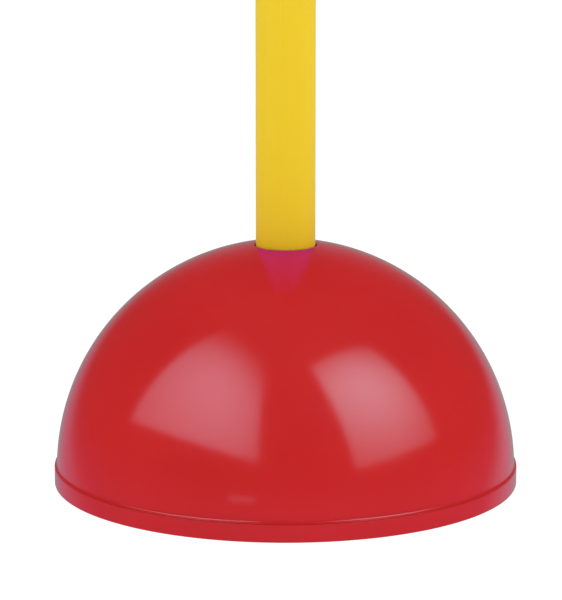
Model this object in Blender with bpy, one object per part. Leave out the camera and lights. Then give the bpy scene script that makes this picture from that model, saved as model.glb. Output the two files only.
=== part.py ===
"""Agility pole: a straight tube pole that stands in the crown of a weighted dome base.

The frame is metres with +Z up. Its origin is on the pole's axis, on the floor that the
base stands on. Profiles are (radius, height) points that are turned about that axis.
"""

import math

import bmesh
import bpy
from mathutils import Matrix

MM = 0.001

# Fits
SEAT_GAP = 0.3 * MM  # between two pieces that rest on or sit in each other
POLE_PLAY = 0.5 * MM  # radial, round the pole in its socket

# Pole
POLE_DIAMETER = 25.0 * MM
POLE_LENGTH = 1500.0 * MM  # over both end plugs
POLE_WALL = 1.8 * MM
STEM_WALL = 2.0 * MM  # of the hollow stems that plug the tube's ends
STEM_LENGTH = 24.0 * MM
CAP_HEAD_HEIGHT = 6.0 * MM
FOOT_HEAD_HEIGHT = 13.0 * MM
FOOT_CHAMFER = 1.2 * MM
GRIP_RING_THICKNESS = 2.6 * MM
GRIP_RING_PROUD = 0.2 * MM  # beyond the pole's surface

# Dome shell
RIM_RADIUS = 98.0 * MM  # outside of the tray's band, the widest part of the base
RIM_STEP = 0.93 * MM  # the band stands this far proud of the dome
CENTRE_DROP = 2.0 * MM  # the dome's centre lies this far below the seam
FLARE_INSET = 0.1 * MM  # the dome's flared foot ends this far inside the band's face
FLARE_EDGE = 0.3 * MM  # height of the foot's upright edge
DOME_WALL = 2.5 * MM
CROWN_LIP_RADIUS = 0.8 * MM
SPIGOT_WALL = 2.0 * MM
SKIRT_TAPER_HEIGHT = 9.5 * MM
COLLAR_WALL = 2.5 * MM
COLLAR_DEPTH = 13.0 * MM
COLLAR_WEB_REACH = 17.0 * MM
COLLAR_WEB_DEPTH = 11.0 * MM

# Socket tube
SOCKET_WALL = 3.0 * MM
SOCKET_MOUTH_CHAMFER = 0.8 * MM

# Base tray
BAND_HEIGHT = 7.56 * MM  # from the underside to the seam
BAND_WALL = 3.0 * MM
BAND_CORNER_RADIUS = 0.5 * MM
BAND_TOP_CHAMFER = 0.15 * MM
LEAD_IN = 0.3 * MM  # chamfer of the ends that are pushed into a bore
FLOOR_THICKNESS = 2.4 * MM
FLOOR_RECESS = 1.6 * MM  # the ribbed middle of the underside is set up by this
OUTER_LAND_WIDTH = 28.0 * MM
CENTRE_LAND_WIDTH = 3.0 * MM
RIB_COUNT = 12
RIB_SETBACK = 0.3 * MM  # ribs stop this far above the lands that stand on the floor
WEB_THICKNESS = 2.0 * MM
CUP_WALL = 2.5 * MM
CUP_HEIGHT = 12.0 * MM
CUP_WEB_REACH = 12.0 * MM
CUP_WEB_HEIGHT = 10.0 * MM

# Rim gasket
GASKET_THICKNESS = 1.2 * MM

# Base screws
SCREW_COUNT = 6
SCREW_RADIUS = 2.0 * MM
SCREW_LENGTH = 16.0 * MM  # under the head
SCREW_HEAD_RADIUS = 4.0 * MM
SCREW_HEAD_HEIGHT = 2.3 * MM
SCREW_HEAD_CHAMFER = 0.8 * MM
SCREW_POINT_LENGTH = 3.0 * MM
SCREW_HEAD_RECESS = 0.6 * MM  # from the underside to the head
SCREW_PAD_WALL = 2.7 * MM
SCREW_PAD_FLOOR = 2.8 * MM
PAD_TO_SKIRT = 1.7 * MM
BOSS_WALL = 2.2 * MM

# Rubber feet
FOOT_ANGLES = (30.0, 150.0, 210.0, 330.0)
FOOT_RADIUS = 8.0 * MM
FOOT_PROUD = 1.0 * MM
FOOT_RECESS = 1.2 * MM
FOOT_EDGE_RADIUS = 0.4 * MM
FOOT_PAD_WALL = 2.2 * MM

# Filler
FILLER_BORE_RADIUS = 14.6 * MM
FILLER_NECK_WALL = 2.8 * MM
FILLER_NECK_HEIGHT = 12.0 * MM
FILLER_LAND_WALL = 2.5 * MM
PLUG_FLANGE_RECESS = 0.5 * MM
PLUG_FLANGE_WIDTH = 4.0 * MM
PLUG_FLANGE_THICKNESS = 1.8 * MM
PLUG_LENGTH = 12.0 * MM
PLUG_WALL = 2.6 * MM
COIN_SLOT_LENGTH = 25.0 * MM
COIN_SLOT_WIDTH = 3.0 * MM
COIN_SLOT_DEPTH = 2.2 * MM
SEAL_THICKNESS = 1.1 * MM

# Ballast
SAND_LEVEL = 62.0 * MM  # above the floor that the base stands on
SAND_SETTLING = 0.8 * MM  # the fill has shrunk from the shell by this

# Facets round a full turn
DOME_FACETS = 48
POLE_FACETS = 32
FILLER_FACETS = 24
SMALL_FACETS = 16
SCREW_FACETS = 10
RING_SECTION_FACETS = 6

# Steps of the arcs in the profiles
DOME_STEPS = 10
DOME_INSIDE_STEPS = 8
LIP_STEPS = 3
FLARE_STEPS = 3
GUSSET_STEPS = 5
WEB_STEPS = 4
BAND_CORNER_STEPS = 2
SAND_STEPS = 3
CAP_STEPS = 5
FOOT_EDGE_STEPS = 2

# Meshing
SHARP_EDGE = math.radians(35)  # edges that turn by more than this stay sharp
SAME_POINT = 0.001 * MM

# Heights and radii that follow from the sizes above
UNDERSIDE = FOOT_PROUD
SEAM = UNDERSIDE + BAND_HEIGHT
BAND_TOP = SEAM - SEAT_GAP / 2
SHOULDER = SEAM + SEAT_GAP / 2
RECESS_CEILING = UNDERSIDE + FLOOR_RECESS
OUTER_FLOOR = UNDERSIDE + FLOOR_THICKNESS
INNER_FLOOR = RECESS_CEILING + FLOOR_THICKNESS
BAND_INNER = RIM_RADIUS - BAND_WALL
OUTER_LAND = RIM_RADIUS - OUTER_LAND_WIDTH
SPIGOT_OUTER = BAND_INNER - SEAT_GAP
SPIGOT_INNER = SPIGOT_OUTER - SPIGOT_WALL
GASKET_BOTTOM = OUTER_FLOOR + SEAT_GAP
SPIGOT_BOTTOM = GASKET_BOTTOM + GASKET_THICKNESS + SEAT_GAP

DOME_CENTRE = SEAM - CENTRE_DROP
DOME_OUTER = math.hypot(RIM_RADIUS - RIM_STEP, CENTRE_DROP)
DOME_INNER = DOME_OUTER - DOME_WALL
DOME_MIDDLE = DOME_OUTER - DOME_WALL / 2
TAPER_TOP = SHOULDER + SKIRT_TAPER_HEIGHT
FLARE_RIM = RIM_RADIUS - FLARE_INSET
FLARE_TOP = SHOULDER + FLARE_EDGE
FLARE_RISE = FLARE_TOP - DOME_CENTRE
# The hollow curve whose lowest point is the foot's edge and that touches the dome's sphere
FLARE_RADIUS = (FLARE_RIM**2 + FLARE_RISE**2 - DOME_OUTER**2) / (2 * (DOME_OUTER - FLARE_RISE))

POLE_RADIUS = POLE_DIAMETER / 2
TUBE_BORE = POLE_RADIUS - POLE_WALL
STEM_RADIUS = TUBE_BORE - SEAT_GAP
POLE_BOTTOM = INNER_FLOOR + SEAT_GAP
POLE_TOP = POLE_BOTTOM + POLE_LENGTH
TUBE_BOTTOM = POLE_BOTTOM + FOOT_HEAD_HEIGHT + SEAT_GAP
TUBE_TOP = POLE_TOP - CAP_HEAD_HEIGHT - SEAT_GAP
GRIP_RING_HEIGHT = POLE_BOTTOM + FOOT_HEAD_HEIGHT / 2

SOCKET_INNER = POLE_RADIUS + POLE_PLAY
SOCKET_OUTER = SOCKET_INNER + SOCKET_WALL
COLLAR_INNER = SOCKET_OUTER + SEAT_GAP
COLLAR_OUTER = COLLAR_INNER + COLLAR_WALL
CUP_OUTER = COLLAR_INNER + CUP_WALL
CENTRE_LAND = CUP_OUTER + SEAT_GAP + CENTRE_LAND_WIDTH / 2

SCREW_HEAD_BOTTOM = UNDERSIDE + SCREW_HEAD_RECESS
SCREW_HEAD_TOP = SCREW_HEAD_BOTTOM + SCREW_HEAD_HEIGHT
SCREW_SEAT = SCREW_HEAD_TOP + SEAT_GAP
SCREW_BORE = SCREW_RADIUS + SEAT_GAP
COUNTERBORE = SCREW_HEAD_RADIUS + SEAT_GAP
SCREW_PAD_RADIUS = COUNTERBORE + SCREW_PAD_WALL
SCREW_PAD_TOP = SCREW_SEAT + SCREW_PAD_FLOOR
SCREW_CIRCLE = SPIGOT_INNER - PAD_TO_SKIRT - SCREW_PAD_RADIUS
BOSS_RADIUS = SCREW_BORE + BOSS_WALL
BOSS_BOTTOM = SCREW_PAD_TOP + SEAT_GAP
SCREW_TIP = SCREW_HEAD_TOP + SCREW_LENGTH

FOOT_TOP = UNDERSIDE + FOOT_RECESS - SEAT_GAP
FOOT_PAD_RADIUS = FOOT_RADIUS + SEAT_GAP + FOOT_PAD_WALL
FOOT_PAD_TOP = OUTER_FLOOR + FOOT_RECESS
FOOT_CIRCLE = SPIGOT_INNER - SEAT_GAP - FOOT_PAD_RADIUS

PLUG_BOTTOM = UNDERSIDE + PLUG_FLANGE_RECESS
FLANGE_TOP = PLUG_BOTTOM + PLUG_FLANGE_THICKNESS
SEAL_BOTTOM = FLANGE_TOP + SEAT_GAP
SEAL_TOP = SEAL_BOTTOM + SEAL_THICKNESS
FILLER_SEAT = SEAL_TOP + SEAT_GAP
PLUG_RADIUS = FILLER_BORE_RADIUS - SEAT_GAP
FLANGE_RADIUS = PLUG_RADIUS + PLUG_FLANGE_WIDTH
FILLER_RECESS = FLANGE_RADIUS + SEAT_GAP
FILLER_LAND_RADIUS = FILLER_RECESS + FILLER_LAND_WALL
FILLER_LAND_TOP = FILLER_SEAT + FLOOR_THICKNESS
FILLER_NECK_RADIUS = FILLER_BORE_RADIUS + FILLER_NECK_WALL
FILLER_NECK_TOP = FILLER_SEAT + FILLER_NECK_HEIGHT
FILLER_PLACE = (CENTRE_LAND + OUTER_LAND) / 2  # from the pole's axis, along +Y
PLUG_TOP = FLANGE_TOP + PLUG_LENGTH


def clear_scene():
    for obj in list(bpy.data.objects):
        bpy.data.objects.remove(obj)


def srgb(*levels):
    """Linear colour from sRGB levels of 0 to 255."""
    shares = [level / 255 for level in levels]
    return [s / 12.92 if s <= 0.04045 else ((s + 0.055) / 1.055) ** 2.4 for s in shares]


def material(name, levels, roughness, metallic=0.0):
    made = bpy.data.materials.new(name)
    made.use_nodes = True
    shader = made.node_tree.nodes["Principled BSDF"]
    shader.inputs["Base Color"].default_value = (*srgb(*levels), 1)
    shader.inputs["Roughness"].default_value = roughness
    shader.inputs["Metallic"].default_value = metallic
    made.diffuse_color = shader.inputs["Base Color"].default_value
    return made


def arc(centre, radius, start, end, steps):
    """Points of an arc in the profile's plane, with its angles in degrees from +radius."""
    angles = [math.radians(start + (end - start) * k / steps) for k in range(steps + 1)]
    return [(centre[0] + radius * math.cos(a), centre[1] + radius * math.sin(a)) for a in angles]


def radius_at(height, sphere_radius):
    """Radius of the dome's sphere of that size at a height."""
    return math.sqrt(sphere_radius**2 - (height - DOME_CENTRE) ** 2)


def height_at(radius, sphere_radius):
    """Height of the dome's sphere of that size at a radius from the axis."""
    return DOME_CENTRE + math.sqrt(sphere_radius**2 - radius**2)


def dome_arc(sphere_radius, start, end, steps):
    """Points of the dome's sphere between two (radius, height) points that lie on it."""
    angles = [math.degrees(math.atan2(z - DOME_CENTRE, r)) for r, z in (start, end)]
    return arc((0, DOME_CENTRE), sphere_radius, *angles, steps)


def on_circle(radius, angle):
    turn = math.radians(angle)
    return radius * math.cos(turn), radius * math.sin(turn)


def around(count, first=0.0):
    return [first + 360.0 * k / count for k in range(count)]


def add_turned(mesh, profile, facets):
    """Turns a profile about the upright axis. The profile may start and end on the axis."""
    points = [mesh.verts.new((r, 0, z)) for r, z in profile]
    on_axis = profile[0][0] == 0 and profile[-1][0] == 0
    pairs = zip(points, points[1:] + ([] if on_axis else points[:1]))
    edges = [mesh.edges.new(pair) for pair in pairs]
    bmesh.ops.spin(
        mesh,
        geom=points + edges,
        axis=(0, 0, 1),
        cent=(0, 0, 0),
        angle=math.tau,
        steps=facets,
        use_merge=True,
    )
    bmesh.ops.remove_doubles(mesh, verts=mesh.verts, dist=SAME_POINT)


def add_plate(mesh, outline, thickness, angle):
    """A flat web: an outline in the radial plane, given its thickness, turned to an angle."""
    (ux, uy), (nx, ny) = on_circle(1, angle), on_circle(thickness / 2, angle + 90)
    near = [mesh.verts.new((r * ux - nx, r * uy - ny, z)) for r, z in outline]
    face = mesh.faces.new(near)
    grown = bmesh.ops.extrude_face_region(mesh, geom=[face])["geom"]
    far = [item for item in grown if isinstance(item, bmesh.types.BMVert)]
    bmesh.ops.translate(mesh, verts=far, vec=(2 * nx, 2 * ny, 0))


def half_facet(facets):
    """A turn that keeps a helper's corners off the radial edges of the piece it works on."""
    return Matrix.Rotation(math.pi / facets, 4, "Z")


def add_post(mesh, place, radius, bottom):
    """A round post from a height up into the middle of the dome's wall."""
    ring = bmesh.ops.create_circle(
        mesh,
        segments=SMALL_FACETS,
        radius=radius,
        cap_ends=True,
        matrix=Matrix.Translation((*place, bottom)) @ half_facet(SMALL_FACETS),
    )
    face = ring["verts"][0].link_faces[0]
    grown = bmesh.ops.extrude_face_region(mesh, geom=[face])["geom"]
    for item in grown:
        if isinstance(item, bmesh.types.BMVert):
            item.co.z = height_at(math.hypot(item.co.x, item.co.y), DOME_MIDDLE)


def solid(name, mesh, look=None):
    """An object from a mesh in the making, with its faces pointing out."""
    bmesh.ops.recalc_face_normals(mesh, faces=mesh.faces)
    data = bpy.data.meshes.new(name)
    mesh.to_mesh(data)
    mesh.free()
    data.shade_smooth()
    data.set_sharp_from_angle(angle=SHARP_EDGE)
    obj = bpy.data.objects.new(name, data)
    bpy.context.scene.collection.objects.link(obj)
    if look:
        data.materials.append(look)
    return obj


def turned(name, profile, facets, look=None):
    mesh = bmesh.new()
    add_turned(mesh, profile, facets)
    return solid(name, mesh, look)


def turned_set(name, profile, facets, places):
    """One helper with the same turned shape at each place."""
    mesh, one = bmesh.new(), bmesh.new()
    add_turned(one, profile, facets)
    bmesh.ops.transform(one, verts=one.verts, matrix=half_facet(facets))
    shape = bpy.data.meshes.new(name)
    one.to_mesh(shape)
    one.free()
    for place in places:
        before = len(mesh.verts)
        mesh.from_mesh(shape)
        mesh.verts.ensure_lookup_table()
        bmesh.ops.translate(mesh, verts=mesh.verts[before:], vec=(*place, 0))
    bpy.data.meshes.remove(shape)
    return solid(name, mesh)


def plates(name, outline, thickness, angles):
    mesh = bmesh.new()
    for angle in angles:
        add_plate(mesh, outline, thickness, angle)
    return solid(name, mesh)


def rod(bottom, top, radius):
    """Profile of a plain round rod."""
    return [(0, bottom), (radius, bottom), (radius, top), (0, top)]


def apply_tool(target, tool, operation):
    """Joins a helper to a piece, or cuts it out of the piece."""
    cut = target.modifiers.new(tool.name, "BOOLEAN")
    cut.operation = operation
    cut.object = tool
    tool.hide_render = True
    tool.display_type = "WIRE"
    tool.parent = target


def empty(name, place, parent=None):
    made = bpy.data.objects.new(name, None)
    bpy.context.scene.collection.objects.link(made)
    made.location = place
    made.parent = parent
    return made


def flare():
    """The foot's edge and the hollow curve from there up into the dome's sphere."""
    height = FLARE_TOP + FLARE_RADIUS
    touch = math.degrees(math.atan2(DOME_CENTRE - height, -FLARE_RIM))
    return arc((FLARE_RIM, height), FLARE_RADIUS, -90, touch, FLARE_STEPS)


def dome_profile():
    """The shell: flared foot, sphere, crown hole with its lip, collar, tapered skirt, spigot."""
    lip_radius = SOCKET_INNER + CROWN_LIP_RADIUS
    lip_height = height_at(lip_radius, DOME_OUTER - CROWN_LIP_RADIUS)
    lip_angle = math.degrees(math.atan2(lip_height - DOME_CENTRE, lip_radius))
    lip = arc((lip_radius, lip_height), CROWN_LIP_RADIUS, lip_angle, 180, LIP_STEPS)
    foot = flare()
    ledge = height_at(COLLAR_INNER, DOME_INNER)
    collar_bottom = ledge - COLLAR_DEPTH
    collar_root = (COLLAR_OUTER, height_at(COLLAR_OUTER, DOME_INNER))
    taper_top = (radius_at(TAPER_TOP, DOME_INNER), TAPER_TOP)
    return [
        (FLARE_RIM, SHOULDER),
        *foot[:-1],
        *dome_arc(DOME_OUTER, foot[-1], lip[0], DOME_STEPS),
        *lip[1:],
        (SOCKET_INNER, ledge),
        (COLLAR_INNER, ledge),
        (COLLAR_INNER, collar_bottom),
        (COLLAR_OUTER, collar_bottom),
        *dome_arc(DOME_INNER, collar_root, taper_top, DOME_INSIDE_STEPS),
        (SPIGOT_INNER, SHOULDER),
        (SPIGOT_INNER, SPIGOT_BOTTOM),
        (SPIGOT_OUTER - LEAD_IN, SPIGOT_BOTTOM),
        (SPIGOT_OUTER, SPIGOT_BOTTOM + LEAD_IN),
        (SPIGOT_OUTER, SHOULDER),
    ]


def boss_gusset_outline():
    """A web that ties a screw boss to the wall, from the skirt's taper up to the boss's top."""
    bottom = TAPER_TOP
    wall = (radius_at(bottom, DOME_MIDDLE), bottom)
    crest = (SCREW_CIRCLE, height_at(SCREW_CIRCLE, DOME_MIDDLE))
    return [(SCREW_CIRCLE, bottom), *dome_arc(DOME_MIDDLE, wall, crest, GUSSET_STEPS)]


def collar_web_outline():
    """A web that ties the socket collar to the underside of the crown."""
    inner = COLLAR_INNER + COLLAR_WALL / 2
    outer = COLLAR_OUTER + COLLAR_WEB_REACH
    root = (inner, height_at(inner, DOME_MIDDLE))
    tip = (outer, height_at(outer, DOME_MIDDLE))
    low = height_at(inner, DOME_INNER) - COLLAR_WEB_DEPTH
    return [(inner, low), *dome_arc(DOME_MIDDLE, tip, root, WEB_STEPS)]


def make_dome_shell(look):
    shell = turned("dome_shell", dome_profile(), DOME_FACETS, look)
    places = [on_circle(SCREW_CIRCLE, angle) for angle in around(SCREW_COUNT)]
    mesh = bmesh.new()
    for place in places:
        add_post(mesh, place, BOSS_RADIUS, BOSS_BOTTOM)
    apply_tool(shell, solid("screw_bosses", mesh), "UNION")
    gussets = plates("boss_gussets", boss_gusset_outline(), WEB_THICKNESS, around(SCREW_COUNT))
    apply_tool(shell, gussets, "UNION")
    webs = plates("collar_webs", collar_web_outline(), WEB_THICKNESS, around(SCREW_COUNT))
    apply_tool(shell, webs, "UNION")
    pilot = rod(BOSS_BOTTOM - SEAT_GAP, SCREW_TIP + SEAT_GAP, SCREW_BORE)
    apply_tool(shell, turned_set("pilot_holes", pilot, SCREW_FACETS, places), "DIFFERENCE")
    return shell


def tray_profile():
    """The tray: rounded band, stepped floor, ring lands underneath and the pole's cup."""
    corner = (RIM_RADIUS - BAND_CORNER_RADIUS, UNDERSIDE + BAND_CORNER_RADIUS)
    cup_top = INNER_FLOOR + CUP_HEIGHT
    return [
        (0, RECESS_CEILING),
        (CENTRE_LAND - CENTRE_LAND_WIDTH, RECESS_CEILING),
        (CENTRE_LAND - CENTRE_LAND_WIDTH, UNDERSIDE),
        (CENTRE_LAND, UNDERSIDE),
        (CENTRE_LAND, RECESS_CEILING),
        (OUTER_LAND, RECESS_CEILING),
        (OUTER_LAND, UNDERSIDE),
        *arc(corner, BAND_CORNER_RADIUS, -90, 0, BAND_CORNER_STEPS),
        (RIM_RADIUS, BAND_TOP - BAND_TOP_CHAMFER),
        (RIM_RADIUS - BAND_TOP_CHAMFER, BAND_TOP),
        (BAND_INNER, BAND_TOP),
        (BAND_INNER, OUTER_FLOOR),
        (OUTER_LAND + FLOOR_THICKNESS, OUTER_FLOOR),
        (OUTER_LAND + FLOOR_THICKNESS, INNER_FLOOR),
        (CUP_OUTER, INNER_FLOOR),
        (CUP_OUTER, cup_top),
        (COLLAR_INNER, cup_top),
        (COLLAR_INNER, INNER_FLOOR),
        (0, INNER_FLOOR),
    ]


def cup_web_outline(margin=0.0):
    """A brace from the cup's wall out along the floor, or the space it takes in the sand."""
    inner = COLLAR_INNER + CUP_WALL / 2
    outer = CUP_OUTER + CUP_WEB_REACH + margin
    low = RECESS_CEILING + FLOOR_THICKNESS / 2
    rise = 2 * margin  # keeps the margin square to the slope
    return [
        (inner, low),
        (outer, low),
        (outer, INNER_FLOOR + WEB_THICKNESS + rise),
        (inner, INNER_FLOOR + CUP_WEB_HEIGHT + rise),
    ]


def rib_outline():
    """A rib of the underside, from the centre land out to the outer land."""
    inner = CENTRE_LAND - CENTRE_LAND_WIDTH / 2
    outer = OUTER_LAND + FLOOR_THICKNESS / 2
    low, high = UNDERSIDE + RIB_SETBACK, RECESS_CEILING + FLOOR_THICKNESS / 2
    return [(inner, low), (outer, low), (outer, high), (inner, high)]


def filler_profile(margin=0.0):
    """The filler's land and neck as one stepped rod, or the space it takes in the sand."""
    return [
        (0, UNDERSIDE),
        (FILLER_LAND_RADIUS + margin, UNDERSIDE),
        (FILLER_LAND_RADIUS + margin, FILLER_LAND_TOP + margin),
        (FILLER_NECK_RADIUS + margin, FILLER_LAND_TOP + margin),
        (FILLER_NECK_RADIUS + margin, FILLER_NECK_TOP + margin),
        (0, FILLER_NECK_TOP + margin),
    ]


def screw_hole_profile():
    """Counterbore for the head, then the hole for the shank."""
    return [
        (0, 0),
        (COUNTERBORE, 0),
        (COUNTERBORE, SCREW_SEAT),
        (SCREW_BORE, SCREW_SEAT),
        (SCREW_BORE, SCREW_PAD_TOP + SEAT_GAP),
        (0, SCREW_PAD_TOP + SEAT_GAP),
    ]


def make_base_tray(look):
    tray = turned("base_tray", tray_profile(), DOME_FACETS, look)
    screws = [on_circle(SCREW_CIRCLE, angle) for angle in around(SCREW_COUNT)]
    feet = [on_circle(FOOT_CIRCLE, angle) for angle in FOOT_ANGLES]
    filler = [(0, FILLER_PLACE)]
    inside_floor = UNDERSIDE + FLOOR_THICKNESS / 2
    ribs = plates("underside_ribs", rib_outline(), WEB_THICKNESS, around(RIB_COUNT))
    apply_tool(tray, ribs, "UNION")
    webs = plates("cup_webs", cup_web_outline(), WEB_THICKNESS, around(SCREW_COUNT))
    apply_tool(tray, webs, "UNION")
    pad = rod(inside_floor, SCREW_PAD_TOP, SCREW_PAD_RADIUS)
    apply_tool(tray, turned_set("screw_pads", pad, SMALL_FACETS, screws), "UNION")
    pad = rod(inside_floor, FOOT_PAD_TOP, FOOT_PAD_RADIUS)
    apply_tool(tray, turned_set("foot_pads", pad, SMALL_FACETS, feet), "UNION")
    land = turned_set("filler_land", filler_profile(), FILLER_FACETS, filler)
    apply_tool(tray, land, "UNION")
    holes = turned_set("screw_holes", screw_hole_profile(), SCREW_FACETS, screws)
    apply_tool(tray, holes, "DIFFERENCE")
    recess = rod(0, UNDERSIDE + FOOT_RECESS, FOOT_RADIUS + SEAT_GAP)
    apply_tool(tray, turned_set("foot_recesses", recess, SMALL_FACETS, feet), "DIFFERENCE")
    bore = [
        (0, 0),
        (FILLER_RECESS, 0),
        (FILLER_RECESS, FILLER_SEAT),
        (FILLER_BORE_RADIUS, FILLER_SEAT),
        (FILLER_BORE_RADIUS, FILLER_NECK_TOP + SEAT_GAP),
        (0, FILLER_NECK_TOP + SEAT_GAP),
    ]
    apply_tool(tray, turned_set("filler_bore", bore, FILLER_FACETS, filler), "DIFFERENCE")
    return tray


def make_socket_tube(look):
    """The tube that keeps sand off the pole, held between the crown's collar and the cup."""
    bottom = INNER_FLOOR + SEAT_GAP
    top = height_at(COLLAR_INNER, DOME_INNER) - SEAT_GAP
    profile = [
        (SOCKET_INNER, bottom),
        (SOCKET_OUTER, bottom),
        (SOCKET_OUTER, top),
        (SOCKET_INNER + SOCKET_MOUTH_CHAMFER, top),
        (SOCKET_INNER, top - SOCKET_MOUTH_CHAMFER),
    ]
    return turned("socket_tube", profile, POLE_FACETS, look)


def make_rim_gasket(look):
    top = GASKET_BOTTOM + GASKET_THICKNESS
    profile = [
        (SPIGOT_INNER, GASKET_BOTTOM),
        (SPIGOT_OUTER, GASKET_BOTTOM),
        (SPIGOT_OUTER, top),
        (SPIGOT_INNER, top),
    ]
    return turned("rim_gasket", profile, DOME_FACETS, look)


def make_sand_ballast(look):
    """The fill, level at rest, with the space that every boss, web and neck takes in it."""
    bottom = INNER_FLOOR + SEAT_GAP
    rim_bottom = FOOT_PAD_TOP + SEAT_GAP
    step = OUTER_LAND + FLOOR_THICKNESS + SEAT_GAP
    outer = SPIGOT_INNER - SAND_SETTLING
    sphere = DOME_INNER - SAND_SETTLING
    taper_top = (radius_at(TAPER_TOP, sphere), TAPER_TOP)
    surface = (radius_at(SAND_LEVEL, sphere), SAND_LEVEL)
    cup_top = INNER_FLOOR + CUP_HEIGHT + SEAT_GAP
    profile = [
        (CUP_OUTER + SEAT_GAP, bottom),
        (step, bottom),
        (step, rim_bottom),
        (outer, rim_bottom),
        (outer, SHOULDER),
        *dome_arc(sphere, taper_top, surface, SAND_STEPS),
        (COLLAR_INNER, SAND_LEVEL),
        (COLLAR_INNER, cup_top),
        (CUP_OUTER + SEAT_GAP, cup_top),
    ]
    sand = turned("sand_ballast", profile, DOME_FACETS, look)
    above = SAND_LEVEL + RIM_RADIUS
    boss_space = [
        (0, 0),
        (SCREW_PAD_RADIUS + SEAT_GAP, 0),
        (SCREW_PAD_RADIUS + SEAT_GAP, BOSS_BOTTOM),
        (BOSS_RADIUS + SEAT_GAP, BOSS_BOTTOM),
        (BOSS_RADIUS + SEAT_GAP, above),
        (0, above),
    ]
    places = [on_circle(SCREW_CIRCLE, angle) for angle in around(SCREW_COUNT)]
    apply_tool(sand, turned_set("boss_spaces", boss_space, SMALL_FACETS, places), "DIFFERENCE")
    low = TAPER_TOP - SEAT_GAP
    slot = [(SCREW_CIRCLE, low), (RIM_RADIUS, low), (RIM_RADIUS, above), (SCREW_CIRCLE, above)]
    width = WEB_THICKNESS + 2 * SEAT_GAP
    slots = plates("gusset_spaces", slot, width, around(SCREW_COUNT))
    apply_tool(sand, slots, "DIFFERENCE")
    webs = plates("cup_web_spaces", cup_web_outline(SEAT_GAP), width, around(SCREW_COUNT))
    apply_tool(sand, webs, "DIFFERENCE")
    neck = filler_profile(SEAT_GAP)
    space = turned_set("filler_space", neck, FILLER_FACETS, [(0, FILLER_PLACE)])
    apply_tool(sand, space, "DIFFERENCE")
    return sand


def make_base_screws(look):
    """Self-tapping screws, driven up from counterbores in the underside."""
    profile = [
        (0, SCREW_HEAD_BOTTOM),
        (SCREW_HEAD_RADIUS - SCREW_HEAD_CHAMFER, SCREW_HEAD_BOTTOM),
        (SCREW_HEAD_RADIUS, SCREW_HEAD_BOTTOM + SCREW_HEAD_CHAMFER),
        (SCREW_HEAD_RADIUS, SCREW_HEAD_TOP),
        (SCREW_RADIUS, SCREW_HEAD_TOP),
        (SCREW_RADIUS, SCREW_TIP - SCREW_POINT_LENGTH),
        (0, SCREW_TIP),
    ]
    made = []
    for number, angle in enumerate(around(SCREW_COUNT), 1):
        screw = turned(f"base_screw_{number}", profile, SCREW_FACETS, look)
        screw.location = (*on_circle(SCREW_CIRCLE, angle), 0)
        made.append(screw)
    return made


def make_rubber_feet(look):
    edge = (FOOT_RADIUS - FOOT_EDGE_RADIUS, FOOT_EDGE_RADIUS)
    profile = [
        (0, 0),
        *arc(edge, FOOT_EDGE_RADIUS, -90, 0, FOOT_EDGE_STEPS),
        (FOOT_RADIUS, FOOT_TOP),
        (0, FOOT_TOP),
    ]
    made = []
    for number, angle in enumerate(FOOT_ANGLES, 1):
        foot = turned(f"rubber_foot_{number}", profile, SMALL_FACETS, look)
        foot.location = (*on_circle(FOOT_CIRCLE, angle), 0)
        made.append(foot)
    return made


def make_filler_plug(look):
    """A hollow screw plug with a flange and a slot for a coin. Its axis is its origin."""
    profile = [
        (0, PLUG_BOTTOM),
        (FLANGE_RADIUS, PLUG_BOTTOM),
        (FLANGE_RADIUS, FLANGE_TOP),
        (PLUG_RADIUS, FLANGE_TOP),
        (PLUG_RADIUS, PLUG_TOP - LEAD_IN),
        (PLUG_RADIUS - LEAD_IN, PLUG_TOP),
        (PLUG_RADIUS - PLUG_WALL, PLUG_TOP),
        (PLUG_RADIUS - PLUG_WALL, PLUG_BOTTOM + COIN_SLOT_DEPTH + PLUG_WALL),
        (0, PLUG_BOTTOM + COIN_SLOT_DEPTH + PLUG_WALL),
    ]
    plug = turned("filler_plug", profile, FILLER_FACETS, look)
    half, top = COIN_SLOT_LENGTH / 2, PLUG_BOTTOM + COIN_SLOT_DEPTH
    slot = [(-half, 0), (half, 0), (half, top), (-half, top)]
    apply_tool(plug, plates("coin_slot", slot, COIN_SLOT_WIDTH, [0]), "DIFFERENCE")
    return plug


def make_filler_seal(look):
    inner, outer = PLUG_RADIUS + SEAT_GAP, FLANGE_RADIUS
    profile = [(inner, SEAL_BOTTOM), (outer, SEAL_BOTTOM), (outer, SEAL_TOP), (inner, SEAL_TOP)]
    return turned("filler_seal", profile, FILLER_FACETS, look)


def make_pole_tube(look):
    profile = [
        (TUBE_BORE, TUBE_BOTTOM),
        (POLE_RADIUS, TUBE_BOTTOM),
        (POLE_RADIUS, TUBE_TOP),
        (TUBE_BORE, TUBE_TOP),
    ]
    return turned("pole_tube", profile, POLE_FACETS, look)


def make_pole_top_cap(look):
    """A domed cap with a hollow stem that plugs the tube's top."""
    seat = POLE_TOP - CAP_HEAD_HEIGHT
    quarter = arc((0, 0), 1, 0, 90, CAP_STEPS)
    crown = [(POLE_RADIUS * r, seat + CAP_HEAD_HEIGHT * z) for r, z in quarter]
    profile = [
        (0, seat - STEM_WALL),
        (STEM_RADIUS - STEM_WALL, seat - STEM_WALL),
        (STEM_RADIUS - STEM_WALL, seat - STEM_LENGTH),
        (STEM_RADIUS, seat - STEM_LENGTH),
        (STEM_RADIUS, seat),
        *crown[:-1],
        (0, POLE_TOP),
    ]
    return turned("pole_top_cap", profile, POLE_FACETS, look)


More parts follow.
